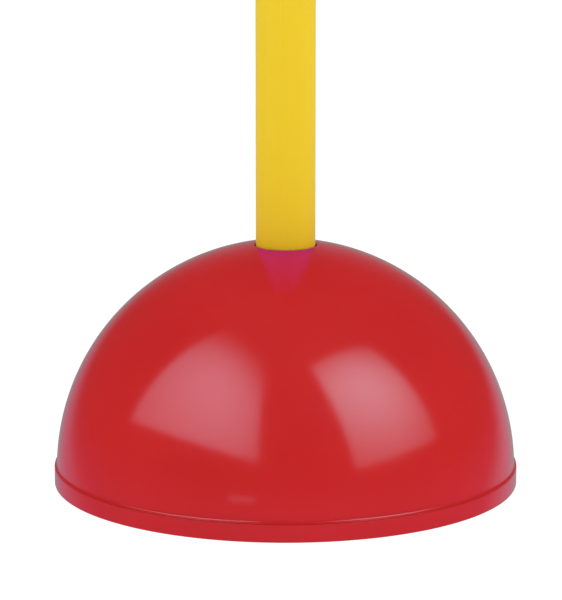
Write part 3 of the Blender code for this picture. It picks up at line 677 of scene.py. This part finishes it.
def tray_outline():
    """Underside with its two lands, rounded band, stepped floor and cup, from axis to axis."""
    band_top, inner_floor = SEAM - JOINT / 2, RAISED + FLOOR
    return outline(
        (0, RAISED),
        (CENTRE_LAND - CENTRE_LAND_WIDTH, RAISED),
        (CENTRE_LAND - CENTRE_LAND_WIDTH, UNDERSIDE, EDGE),
        (CENTRE_LAND, UNDERSIDE, EDGE),
        (CENTRE_LAND, RAISED),
        (OUTER_LAND, RAISED),
        (OUTER_LAND, UNDERSIDE, EDGE),
        (RIM_RADIUS, UNDERSIDE, BAND_CORNER),
        (RIM_RADIUS, band_top, SEAM_EDGE),
        (RIM_RADIUS - BAND_WALL, band_top, EDGE),
        (RIM_RADIUS - BAND_WALL, UNDERSIDE + FLOOR),
        (OUTER_LAND + FLOOR, UNDERSIDE + FLOOR),
        (OUTER_LAND + FLOOR, inner_floor),
        (COLLAR_OUTER, inner_floor),
        (COLLAR_OUTER, CUP_TOP, CUP_EDGE),
        (COLLAR_INNER, CUP_TOP, CUP_EDGE),
        (COLLAR_INNER, inner_floor),
        (0, inner_floor),
    )


print("tray outline:", len(tray_outline()), "points")

# %% Tray ribs, braces and screw holes
PAD_ROOT = 2.2 * MM  # inside the floor
SCREW_PAD, SCREW_PAD_TOP = 7.0 * MM, 7.0 * MM
FOOT_PAD, FOOT_PAD_TOP = 10.5 * MM, 4.6 * MM
BRACE_REACH, BRACE_HEIGHT = 12.0 * MM, 10.0 * MM


def rib(turn):
    """A rib of the underside: its foot is rounded and its sides taper, as a mould needs to let go.

    Its closed section of (across, height) points is carried between two distances along its own axis.
    """
    low, high = UNDERSIDE + GAP, RAISED + FLOOR / 2
    foot, root = WEB / 2 - 0.15 * MM, WEB / 2
    section = outline((-root, high), (-foot, low, EDGE), (foot, low, EDGE), (root, high))
    along = CENTRE_LAND - CENTRE_LAND_WIDTH / 2, OUTER_LAND + FLOOR / 2
    return capped(*[about_axis(np.insert(section, 0, x, axis=1), turn) for x in along])


def brace(turn):
    """A brace from the cup's wall down to the floor."""
    inner, outer, floor = COLLAR_OUTER - 1.25 * MM, COLLAR_OUTER + BRACE_REACH, RAISED + FLOOR
    root = floor - FLOOR / 2
    return slab(join((inner, root), (outer, root), (outer, floor + WEB), (inner, floor + BRACE_HEIGHT)), turn)


def mouth(radius, seat):
    """Outline of a round recess in the underside with a chamfered edge, from the axis up to its seat."""
    rim = radius + EDGE
    return join((0, 0), (rim, 0), (rim, UNDERSIDE), (radius, UNDERSIDE + EDGE), (radius, seat))


def screw_hole(place):
    """Counterbore for the head, then the hole for the shank."""
    seat, top = SCREW_SEAT + GAP, SCREW_PAD_TOP + GAP
    shape = join(mouth(SCREW_HEAD + GAP, seat), (SCREW_BORE, seat), (SCREW_BORE, top), (0, top))
    return rod(turned(shape, 48, place))


print("screw heads sit", round((SCREW_SEAT - UNDERSIDE) / MM, 2), "mm deep in the tray")

# %% Threads
def threaded(grid, place, low, high, pitch, depth, least):
    """The same grid with a right-hand thread between two heights on the surface outside radius `least`.

    Its radius falls by depth * |2 p - 1|, where p is the fraction of z / pitch - t / 2 pi, and the cut fades out
    over the first and last half turn.
    """
    dx, dy = grid[..., 0] - place[0], grid[..., 1] - place[1]
    r, t, z = np.hypot(dx, dy), np.arctan2(dy, dx), grid[..., 2]
    phase = (z / pitch - t / TURN) % 1
    fade = np.clip(np.minimum(z - low, high - z) / (pitch / 2), 0, 1)
    cut = np.where(r > least, depth * np.abs(2 * phase - 1) * fade, 0)
    share = np.where(r > least, (r - cut) / np.maximum(r, MM), 1)
    return np.stack([place[0] + dx * share, place[1] + dy * share, z], -1)


def risers(radius, low, high, count):
    """A straight upright stretch of an outline with many points, for a thread."""
    return np.column_stack([np.full(count, radius), np.linspace(low, high, count)])


# %% Filler neck
FILLER = (0.0, sum(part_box("filler_plug"), Vector()).y / 2)
FLANGE_RADIUS, PLUG_BOTTOM, PLUG_TOP = extent("filler_plug")
_, SEAL_LOW, SEAL_HIGH = extent("filler_seal")
FILLER_SEAT = SEAL_HIGH + GAP
FILLER_BORE = FLANGE_RADIUS - 3.7 * MM  # leaves a ring for the flange and its seal
FILLER_TOP = FILLER_SEAT + 12.0 * MM
THREAD_PITCH = 2.5 * MM
THREAD_DEPTH = 0.7 * MM


def filler_land():
    """The filler's ring land and neck."""
    land, land_top = FLANGE_RADIUS + GAP + 2.5 * MM, FILLER_SEAT + FLOOR
    neck = FILLER_BORE + 2.8 * MM
    shape = outline(
        (0, UNDERSIDE),
        (land, UNDERSIDE, EDGE),
        (land, land_top, EDGE),
        (neck, land_top),
        (neck, FILLER_TOP, EDGE),
        (0, FILLER_TOP),
    )
    return rod(turned(shape, SLIM, FILLER))


def filler_bore():
    """The filler's recess and threaded bore, as one cutter."""
    end = FILLER_TOP + GAP
    wall = risers(FILLER_BORE + THREAD_DEPTH, FILLER_SEAT, end, 64)
    grid = turned(join(mouth(FLANGE_RADIUS + GAP, FILLER_SEAT), wall, (0, end)), SLIM, FILLER)
    return rod(threaded(grid, FILLER, FILLER_SEAT, FILLER_TOP + MM, THREAD_PITCH, THREAD_DEPTH, 0.5 * FILLER_BORE))


print("filler bore:", round(2 * FILLER_BORE / MM, 2), "mm wide")

# %% Base tray
FEET = [(sum(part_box(f"rubber_foot_{k}"), Vector()) / 2)[:2] for k in range(1, 5)]
FOOT_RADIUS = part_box("rubber_foot_1")[1].x - FEET[0][0]
FOOT_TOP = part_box("rubber_foot_1")[1].z
finished(
    "base_tray", "base", "red_shell", TRAY_RED,
    [rod(turned(tray_outline()))],
    ("UNION", [rib(TURN * k / 12) for k in range(12)]),
    ("UNION", [brace(turn) for turn in SIXTHS]),
    ("UNION", [post(SCREW_PAD, PAD_ROOT, SCREW_PAD_TOP, place, EDGE) for place in SCREW_PLACES]),
    ("UNION", [post(FOOT_PAD, PAD_ROOT, FOOT_PAD_TOP, place, EDGE) for place in FEET]),
    ("UNION", [filler_land()]),
    ("DIFFERENCE", [screw_hole(place) for place in SCREW_PLACES]),
    ("DIFFERENCE", [post(FOOT_RADIUS + GAP, 0, FOOT_TOP + GAP, place) for place in FEET]),
    ("DIFFERENCE", [filler_bore()]),
)

# %% [markdown]
# ## Pole tube, top cap and foot plug
#
# The tube is a plain extrusion, cut square and lightly deburred. Its cap has a low domed head and a hollow stem
# with crush ribs that grip the bore. The foot plug has the same stem under a hard head, with a groove for the
# rubber ring that stops the pole from rattling. The ribs are a formula on the turned stem: between ribs its
# radius drops by a third of a millimetre.

# %% Pole tube
BORE = POLE_RADIUS - 1.8 * MM
tube_shape = outline(
    (BORE, TUBE_BOTTOM, 0.3 * MM),
    (POLE_RADIUS, TUBE_BOTTOM, 0.4 * MM),
    (POLE_RADIUS, TUBE_TOP, 0.4 * MM),
    (BORE, TUBE_TOP, 0.3 * MM),
)
finished("pole_tube", "pole", "yellow_pole", POLE_YELLOW, [ring(turned(tube_shape, SLIM))])

# %% Stems with crush ribs
STEM = BORE - GAP
STEM_WALL = 2.0 * MM
STEM_LENGTH = 24.0 * MM
RIBS = 8
RIB_DROP = 0.35 * MM


def ribbed(grid, low, high):
    """Turned stem whose outside drops between eight ribs, by RIB_DROP * (1 - rib)."""
    r, t, z = np.hypot(grid[..., 0], grid[..., 1]), np.arctan2(grid[..., 1], grid[..., 0]), grid[..., 2]
    rib_height = np.clip(1.6 * np.cos(RIBS * t) - 0.6, 0, 1)
    ends = np.clip(np.minimum(z - low, high - z) / MM, 0, 1)
    drop = np.where(r > STEM - 0.6 * MM, RIB_DROP * (1 - rib_height) * ends, 0)
    share = (r - drop) / np.maximum(r, MM)
    return np.concatenate([grid[..., :2] * share[..., None], z[..., None]], -1)


print("stem:", round(2 * STEM / MM, 2), "mm across its ribs")

# %% Top cap
_, CAP_BOTTOM, CAP_TOP = extent("pole_top_cap")
CAP_SEAT = CAP_BOTTOM + STEM_LENGTH
GATE = 1.5 * MM  # radius of the dimple where the mould was filled
GATE_FLOOR = CAP_TOP - 0.25 * MM


def cap_shape():
    """Domed head, a half ellipse with a small dimple at its top, over the hollow stem."""
    a = np.linspace(0, math.pi / 2, 25)[1:]
    rise = CAP_TOP - CAP_SEAT
    crown = np.stack([POLE_RADIUS * np.cos(a), CAP_SEAT + rise * np.sin(a)], -1)
    crown = crown[crown[:, 0] > GATE]
    rim = outline((STEM, CAP_SEAT), (POLE_RADIUS, CAP_SEAT, 0.3 * MM), (POLE_RADIUS, CAP_SEAT + 0.5 * MM))
    floor = CAP_SEAT - STEM_WALL
    return join(
        (0, floor),
        outline(
            (STEM - STEM_WALL, floor),
            (STEM - STEM_WALL, CAP_BOTTOM, 0.3 * MM),
            (STEM, CAP_BOTTOM, 0.5 * MM),
            (STEM, CAP_BOTTOM + MM),
        ),
        risers(STEM, CAP_BOTTOM + 1.5 * MM, CAP_SEAT - 0.5 * MM, 20),
        rim[:-1],
        crown,
        (GATE, CAP_TOP - 0.02 * MM),
        (GATE - 0.3 * MM, GATE_FLOOR),
        (0, GATE_FLOOR),
    )


cap_grid = ribbed(turned(cap_shape(), SLIM), CAP_BOTTOM, CAP_SEAT)
finished("pole_top_cap", "pole", "yellow_pole", CAP_YELLOW, [rod(cap_grid)])

# %% Foot plug and grip ring
_, PLUG_FOOT, STEM_TOP = extent("pole_foot_plug")
HEAD_TOP = STEM_TOP - STEM_LENGTH
RING_OUTER, RING_LOW, RING_HIGH = extent("pole_grip_ring")
RING_WIRE = 1.3 * MM  # radius of the ring's section
RING_HEIGHT = (RING_LOW + RING_HIGH) / 2


def foot_shape():
    """Hard head with a rounded nose and a ring groove, under the hollow stem."""
    groove = RING_OUTER - 2 * RING_WIRE - GAP
    half = RING_WIRE + GAP
    head = outline(
        (0, PLUG_FOOT),
        (POLE_RADIUS, PLUG_FOOT, 1.2 * MM),
        (POLE_RADIUS, RING_HEIGHT - half, EDGE),
        (groove, RING_HEIGHT - half, EDGE),
        (groove, RING_HEIGHT + half, EDGE),
        (POLE_RADIUS, RING_HEIGHT + half, EDGE),
        (POLE_RADIUS, HEAD_TOP, EDGE),
        (STEM, HEAD_TOP),
    )
    stem = outline(
        (STEM, STEM_TOP - MM),
        (STEM, STEM_TOP, 0.5 * MM),
        (STEM - STEM_WALL, STEM_TOP, 0.3 * MM),
        (STEM - STEM_WALL, HEAD_TOP - STEM_WALL),
        (0, HEAD_TOP - STEM_WALL),
    )
    return join(head, risers(STEM, HEAD_TOP + 0.5 * MM, STEM_TOP - 1.5 * MM, 20), stem)


foot_grid = ribbed(turned(foot_shape(), SLIM), HEAD_TOP, STEM_TOP)
finished("pole_foot_plug", "pole", "black_plastic", BLACK_PLASTIC, [rod(foot_grid)])

ring_section = arc((RING_OUTER - RING_WIRE, RING_HEIGHT), RING_WIRE, 0, 360, 24)[:-1]
finished("pole_grip_ring", "grip_ring", "black_rubber", RUBBER, [ring(turned(ring_section, SLIM))])

# %% [markdown]
# ## Socket tube and rim gasket
#
# Both are simple turned rings. The tube shows at its mouth when the pole is out, so its bevel is cut clean with
# soft edges. The gasket is stamped from sheet: square, with a trace of rounding from the cut.

# %% Socket tube and gasket
socket_shape = outline(
    (SOCKET_INNER, SOCKET_BOTTOM, EDGE),
    (SOCKET_OUTER, SOCKET_BOTTOM, EDGE),
    (SOCKET_OUTER, SOCKET_TOP, EDGE),
    (SOCKET_INNER + 0.8 * MM, SOCKET_TOP, 0.2 * MM),
    (SOCKET_INNER, SOCKET_TOP - 0.8 * MM, 0.2 * MM),
)
finished("socket_tube", "base", "natural_plastic", NATURAL, [ring(turned(socket_shape, SLIM))])

GASKET_RADIUS, GASKET_LOW, GASKET_HIGH = extent("rim_gasket")


def washer(inner, outer, low, high):
    """A flat ring's section, its corners rounded by 0.15 mm."""
    edge = 0.15 * MM
    return outline((inner, low, edge), (outer, low, edge), (outer, high, edge), (inner, high, edge), steps=3)


gasket_shape = washer(SPIGOT_INNER, GASKET_RADIUS, GASKET_LOW, GASKET_HIGH)
finished("rim_gasket", "base", "black_rubber", RUBBER, [ring(turned(gasket_shape))])

# %% [markdown]
# ## Filler plug and seal
#
# The plug closes the opening that the sand goes in by. It has a flange with a slot for a coin and a hollow body
# with a coarse right-hand thread, which the tray's neck repeats.

# %% Filler plug and seal
PLUG_RADIUS = FILLER_BORE - GAP
FLANGE_TOP = PLUG_BOTTOM + 1.8 * MM
PLUG_WALL = 2.6 * MM
SLOT_TOP = PLUG_BOTTOM + 2.2 * MM


def plug_shape():
    """Flange, threaded body and its hollow, from axis to axis."""
    inner = PLUG_RADIUS - PLUG_WALL
    return join(
        outline(
            (0, PLUG_BOTTOM),
            (FLANGE_RADIUS, PLUG_BOTTOM, EDGE),
            (FLANGE_RADIUS, FLANGE_TOP, EDGE),
            (PLUG_RADIUS, FLANGE_TOP),
        ),
        risers(PLUG_RADIUS, FLANGE_TOP + 0.2 * MM, PLUG_TOP - 0.3 * MM, 60),
        outline(
            (PLUG_RADIUS - 0.3 * MM, PLUG_TOP),
            (inner, PLUG_TOP, EDGE),
            (inner, SLOT_TOP + PLUG_WALL, 0.8 * MM),
            (0, SLOT_TOP + PLUG_WALL),
        ),
    )


def coin_slot():
    """A straight slot with round ends, cut in the flange's face."""
    half, radius = 12.5 * MM, 1.5 * MM
    right = arc((half - radius, FILLER[1]), radius, -90, 90, 12)
    left = arc((radius - half, FILLER[1]), radius, 90, 270, 12)
    return capped(*[np.insert(join(right, left), 2, z, axis=1) for z in (0, SLOT_TOP)])


plug_grid = turned(plug_shape(), SLIM, FILLER)
plug_grid = threaded(plug_grid, FILLER, FLANGE_TOP, PLUG_TOP, THREAD_PITCH, THREAD_DEPTH, PLUG_RADIUS - 0.1 * MM)
finished("filler_plug", "plug", "black_plastic", BLACK_PLASTIC, [rod(plug_grid)], ("DIFFERENCE", [coin_slot()]))

seal_shape = washer(PLUG_RADIUS + GAP, FLANGE_RADIUS, SEAL_LOW, SEAL_HIGH)
finished("filler_seal", "plug_seal", "black_rubber", RUBBER, [ring(turned(seal_shape, SLIM, FILLER))])

# %% [markdown]
# ## Base screws
#
# Six pan head screws with a cross recess, driven up from below. The thread is the same formula as the filler's,
# with a finer pitch, and the recess is a tapered cross that is cut out of the head.

# %% Base screws
SHANK = 2.0 * MM
SCREW_PITCH = 1.6 * MM
SCREW_THREAD = 0.5 * MM  # its depth


def screw_shape():
    """Low domed head, threaded shank and point, from axis to axis."""
    return join(
        outline(
            (0, SCREW_BOTTOM),
            (SCREW_HEAD * 0.62, SCREW_BOTTOM, 2.0 * MM),
            (SCREW_HEAD, SCREW_BOTTOM + 1.1 * MM, 0.5 * MM),
            (SCREW_HEAD, SCREW_SEAT, 0.2 * MM),
            (SHANK, SCREW_SEAT),
        ),
        risers(SHANK, SCREW_SEAT + 0.3 * MM, SCREW_TOP - 3.0 * MM, 64),
        (0.9 * MM, SCREW_TOP - MM),
        (0, SCREW_TOP),
    )


def cross_recess(place):
    """A cross of two tapered bars: half width 0.5 and reach 2.3 mm at the mouth, 0.35 and 1.1 mm at its floor."""
    loops = []
    for z, across, reach in ((0, 0.5, 2.3), (SCREW_BOTTOM + 1.5 * MM, 0.35, 1.1)):
        arm = np.array([(reach, -across), (reach, across), (across, across)]) * MM
        plan = np.concatenate([arm @ np.array([[c, s], [-s, c]]) for c, s in ((1, 0), (0, 1), (-1, 0), (0, -1))])
        loops.append(np.insert(plan + np.array(place), 2, z, axis=1))
    return capped(*loops)


for number, place in enumerate(SCREW_PLACES, 1):
    grid = turned(screw_shape(), 32, place)
    grid = threaded(grid, place, SCREW_SEAT, SCREW_TOP - 2 * MM, SCREW_PITCH, SCREW_THREAD, 0.95 * SHANK)
    recess = ("DIFFERENCE", [cross_recess(place)])
    finished(f"base_screw_{number}", "base", "zinc_steel", ZINC, [rod(grid)], recess)

# %% [markdown]
# ## Rubber feet
#
# Four stick-on feet take the base's weight. Their face has low ring grooves, which grip a smooth floor. The
# grooves are a wave on the face: it rises where the cosine of the radius is above zero.

# %% Rubber feet
GROOVE_PITCH = 2.6 * MM
GROOVE_DEPTH = 0.25 * MM


def foot_outline():
    """Grooved face, rounded edge and flat back, from axis to axis."""
    r = np.linspace(0, FOOT_RADIUS - 0.6 * MM, 61)
    face = np.column_stack([r, GROOVE_DEPTH * np.clip(-np.cos(TURN * r / GROOVE_PITCH), 0, 1)])
    edge = outline((r[-1], 0), (FOOT_RADIUS, 0, 0.4 * MM), (FOOT_RADIUS, FOOT_TOP, 0.1 * MM), (0, FOOT_TOP))
    return join(face[:-1], edge[1:])


for number, place in enumerate(FEET, 1):
    finished(f"rubber_foot_{number}", "base", "black_rubber", RUBBER, [rod(turned(foot_outline(), 64, place))])

# %% [markdown]
# ## Sand
#
# The fill is out of sight. Its solid keeps the shape of the construction and gets the look of loose dry sand.

# %% Sand
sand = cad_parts["sand_ballast"].data
sand.materials.clear()
sand.materials.append(SAND)
print("sand:", len(sand.polygons), "faces")

# %% [markdown]
# ## Floor
#
# The photograph shows the object cut out on pure white. A pale floor that is lit to white does the same and
# still carries the object. It glows white to the camera with a trace of shading left, has no reflection in the
# gloss, and can't be seen from below, so that the underside shows. The middle is open under the base, which lets
# a light from below in for those views and sends none of it past the base.

# %% Floor
FLOOR_INNER = RIM_RADIUS - 1.5 * MM
FLOOR_OUTER = 12.0
GLOW = 0.95  # share of white light in what the camera sees
UPLIGHT = 0.27  # radiance that the lit table sends up onto the object
PAPER_WHITE = 1.05  # radiance of the floor to the camera


def floor_mesh():
    """A flat ring from under the base out to the distance, its radii growing by a constant factor."""
    radii = FLOOR_INNER * (FLOOR_OUTER / FLOOR_INNER) ** np.linspace(0, 1, 24)
    grid = turned(np.column_stack([radii, 0 * radii]), SLIM)
    mesh = bpy.data.meshes.new("floor")
    faces = quads(grid, True, False)[:, ::-1]
    mesh.from_pydata(grid.reshape(-1, 3).tolist(), [], faces.tolist())
    return mesh


floor = bpy.data.objects.new("floor", floor_mesh())
bpy.context.scene.collection.objects.link(floor)
floor.visible_glossy = False
paper = bpy.data.materials.new("white_paper")
paper.use_nodes = True
tree = paper.node_tree
tree.nodes.clear()
matt = node(tree, "ShaderNodeBsdfDiffuse", {"Color": (0.95, 0.95, 0.95, 1)})
table = node(tree, "ShaderNodeEmission", {"Color": (1, 1, 1, 1), "Strength": UPLIGHT})
paper_lit = node(tree, "ShaderNodeAddShader", {0: matt.outputs[0], 1: table.outputs[0]})
white = node(tree, "ShaderNodeEmission", {"Color": (1, 1, 1, 1), "Strength": PAPER_WHITE})
path = node(tree, "ShaderNodeLightPath")
glow = node(tree, "ShaderNodeMath", {0: path.outputs["Is Camera Ray"], 1: GLOW}, operation="MULTIPLY")
lit = node(tree, "ShaderNodeMixShader", {0: glow.outputs[0], 1: paper_lit.outputs[0], 2: white.outputs[0]})
side = node(tree, "ShaderNodeNewGeometry")
clear = node(tree, "ShaderNodeBsdfTransparent")
both = node(tree, "ShaderNodeMixShader", {0: side.outputs["Backfacing"], 1: lit.outputs[0], 2: clear.outputs[0]})
node(tree, "ShaderNodeOutputMaterial", {"Surface": both.outputs[0]})
floor.data.materials.append(paper)
print("floor:", len(floor.data.polygons), "faces")

# %% [markdown]
# ## Light
#
# The dome mirrors the studio: two tall soft boxes stand to the left and right in front, and the room behind is
# dim but for a pale backdrop that shows in the dome's edges. Their corners in the photograph, mirrored back
# through the dome, give the boxes' places and sizes. Each box is brightest where its lamp stands behind the
# cloth. The soft light that fills the room is even, because the red hardly changes from one side of the dome to
# the other. It would be one more reflection if the gloss could see it, so it only lights the matt colour.

# %% Flat lights
def flat_light(name, centre, normal, across, size, radiance, sees, colour=(1, 1, 1)):
    """A flat light that faces along `normal`, wide along `across`, for the gloss or for the matt colour only.

    A flat light of power P and area A has a radiance of P / (pi A).
    """
    z = -Vector(normal).normalized()
    x = (Vector(across) - Vector(across).dot(z) * z).normalized()
    data = bpy.data.lights.new(name, "AREA")
    data.shape = "RECTANGLE"
    data.size, data.size_y = size
    data.energy = radiance * math.pi * size[0] * size[1]
    data.color = colour
    made = bpy.data.objects.new(name, data)
    made.matrix_world = Matrix.Translation(centre) @ Matrix((x, z.cross(x), z)).transposed().to_4x4()
    made.visible_camera = False
    made.visible_glossy = sees == "gloss"
    made.visible_diffuse = sees == "matt"
    bpy.context.scene.collection.objects.link(made)
    return data


def hot_spot(light, middle, reach):
    """Brightness exp(-d^2) over the cloth, where d is the distance from the lamp's place in units of its reach.

    Both are counted across and up the box, which runs from 0 to 1.
    """
    light.use_nodes = True
    tree = light.node_tree
    cloth = node(tree, "ShaderNodeNewGeometry").outputs["Parametric"]
    off = node(tree, "ShaderNodeVectorMath", {0: cloth, 1: (*middle, 0)}, operation="SUBTRACT").outputs[0]
    d = node(tree, "ShaderNodeVectorMath", {0: off, 1: (*reach, 1)}, operation="DIVIDE").outputs[0]
    square = node(tree, "ShaderNodeVectorMath", {0: d, 1: d}, operation="DOT_PRODUCT").outputs["Value"]
    fall = node(tree, "ShaderNodeMath", {0: square, 1: -1.0}, operation="MULTIPLY").outputs[0]
    bright = node(tree, "ShaderNodeMath", {0: fall}, operation="EXPONENT").outputs[0]
    tree.links.new(bright, tree.nodes["Emission"].inputs["Strength"])


# %% Soft boxes
left_box = flat_light(
    "left_box",
    (-0.865, -0.766, 1.916),
    normal=(0.892, 0.451, 0.025),
    across=(0.449, -0.892, 0.061),
    size=(1.78, 2.97),
    radiance=4.45,
    sees="gloss",
    colour=(0.50, 0.79, 1.00),
)
hot_spot(left_box, (0.5, 0.245), (0.62, 0.40))
right_box = flat_light(
    "right_box",
    (1.267, -0.708, 1.458),
    normal=(-0.647, 0.747, -0.151),
    across=(0.743, 0.663, 0.095),
    size=(1.56, 2.19),
    radiance=5.6,
    sees="gloss",
    colour=(0.45, 0.89, 1.05),
)
hot_spot(right_box, (0.38, 0.49), (0.66, 0.47))
flat_light(
    "low_panel",
    (-0.711, -1.870, -0.050),
    normal=(0.375, 0.927, 0),
    across=(0.927, -0.375, 0),
    size=(0.44, 0.11),
    radiance=1.4,
    sees="gloss",
    colour=(0.60, 0.95, 1.34),
)
print("mirrored lights:", [light.name for light in bpy.data.lights])

# %% Even light for the matt colour
ROOM_HALF = 2.5
FILL_BELOW = 0.9
for name, inwards, radiance in (
    ("fill_front", (0, 1, 0), 0.75),
    ("fill_back", (0, -1, 0), 1.15),
    ("fill_left", (1, 0, 0), 0.78),
    ("fill_right", (-1, 0, 0), 0.93),
    ("fill_top", (0, 0, -1), 1.54),
):
    centre = Vector((0, 0, ROOM_HALF)) - ROOM_HALF * Vector(inwards)
    across = (0, 1, 0) if inwards[0] else (1, 0, 0)
    flat_light(name, centre, inwards, across, (2 * ROOM_HALF, 2 * ROOM_HALF), radiance, sees="matt")
flat_light("fill_below", (0, 0, -0.5), (0, 0, 1), (1, 0, 0), (3.0, 3.0), FILL_BELOW, sees="matt")
print("lights:", len(bpy.data.lights))

# %% [markdown]
# ## The room
#
# The world stands for the room. The camera sees it white. The gloss sees a dark room, a dim table below, and a
# pale backdrop behind the object that fades upwards and towards the sides, stronger on the right. The matt
# colour has its own even light, so the world sends it none.

# %% Room
HEIGHTS = {  # what changes with the angle above the horizon: from and to in degrees, and the values there
    "edge": ((-12, 8), (1.95, 2.65)),  # where the backdrop starts, as an angle from the front
    "fall": ((-10, 38), (0.8, 0)),  # strength of the backdrop
    "dusk": ((4, -14), (0, 1)),  # share of the tone below the horizon
    "table": ((-22, -50), (0, 1)),  # share of the table's tone
}
EDGE_WIDTH = 0.38  # angle over which the backdrop starts
SKEW, LEVEL = 0.35, 0.85  # the backdrop is stronger on the right
STRAIGHT_ON = (0, 0.978, -0.208)  # direction past the dome, round which the backdrop is greener
GREENER = (0.86, 0.96)  # cosines of the angle from that direction between which the tone changes
ROOM_WHITE = 1.1  # radiance of the room to the camera


def room():
    """World shader: white to the camera, a dim room with a backdrop to everything else."""
    world = bpy.data.worlds.new("studio")
    bpy.context.scene.world = world
    world.cycles_visibility.diffuse = False
    world.use_nodes = True
    tree = world.node_tree
    tree.nodes.clear()
    towards = node(tree, "ShaderNodeTexCoord").outputs["Generated"]
    x, y, z = node(tree, "ShaderNodeSeparateXYZ", {0: towards}).outputs
    above = node(tree, "ShaderNodeMath", {0: z}, operation="ARCSINE").outputs[0]
    at = {}
    for what, (degrees, (first, second)) in HEIGHTS.items():
        low, high = [math.radians(a) for a in degrees]
        ends = {"Value": above, "From Min": low, "From Max": high, "To Min": first, "To Max": second}
        at[what] = node(tree, "ShaderNodeMapRange", ends).outputs[0]

    side = node(tree, "ShaderNodeMath", {0: x}, operation="ABSOLUTE").outputs[0]
    front = node(tree, "ShaderNodeMath", {0: y, 1: -1.0}, operation="MULTIPLY").outputs[0]
    azimuth = node(tree, "ShaderNodeMath", {0: side, 1: front}, operation="ARCTAN2").outputs[0]
    past = node(tree, "ShaderNodeMath", {0: azimuth, 1: at["edge"]}, operation="SUBTRACT").outputs[0]
    inside = node(tree, "ShaderNodeMapRange", {"Value": past, "From Max": EDGE_WIDTH}).outputs[0]
    level = node(tree, "ShaderNodeMath", {0: inside, 1: at["fall"]}, operation="MULTIPLY").outputs[0]
    skew = node(tree, "ShaderNodeMath", {0: x, 1: SKEW, 2: LEVEL}, operation="MULTIPLY_ADD").outputs[0]
    skewed = node(tree, "ShaderNodeMath", {0: level, 1: skew}, operation="MULTIPLY").outputs[0]
    ahead = node(tree, "ShaderNodeVectorMath", {0: towards, 1: STRAIGHT_ON}, operation="DOT_PRODUCT").outputs["Value"]
    low, high = GREENER
    straight = node(tree, "ShaderNodeMapRange", {"Value": ahead, "From Min": low, "From Max": high}).outputs[0]
    tones = {FIRST: linear("#A6BFDA"), SECOND: linear("#78C6C2"), SHARE: straight}
    cloth = node(tree, "ShaderNodeMix", tones, data_type="RGBA").outputs[MIXED]

    tone = linear("#454449")
    for other, share in ((linear("#826C9F"), at["dusk"]), (linear("#C6C6DA"), at["table"]), (cloth, skewed)):
        tone = node(tree, "ShaderNodeMix", {FIRST: tone, SECOND: other, SHARE: share}, data_type="RGBA").outputs[MIXED]
    dim = node(tree, "ShaderNodeBackground", {"Color": tone})
    white = node(tree, "ShaderNodeBackground", {"Color": (1, 1, 1, 1), "Strength": ROOM_WHITE})
    to_camera = node(tree, "ShaderNodeLightPath").outputs["Is Camera Ray"]
    seen = node(tree, "ShaderNodeMixShader", {0: to_camera, 1: dim.outputs[0], 2: white.outputs[0]})
    node(tree, "ShaderNodeOutputWorld", {"Surface": seen.outputs[0]})
    print("room:", len(tree.nodes), "nodes")


room()
bpy.context.scene.view_settings.view_transform = "Standard"
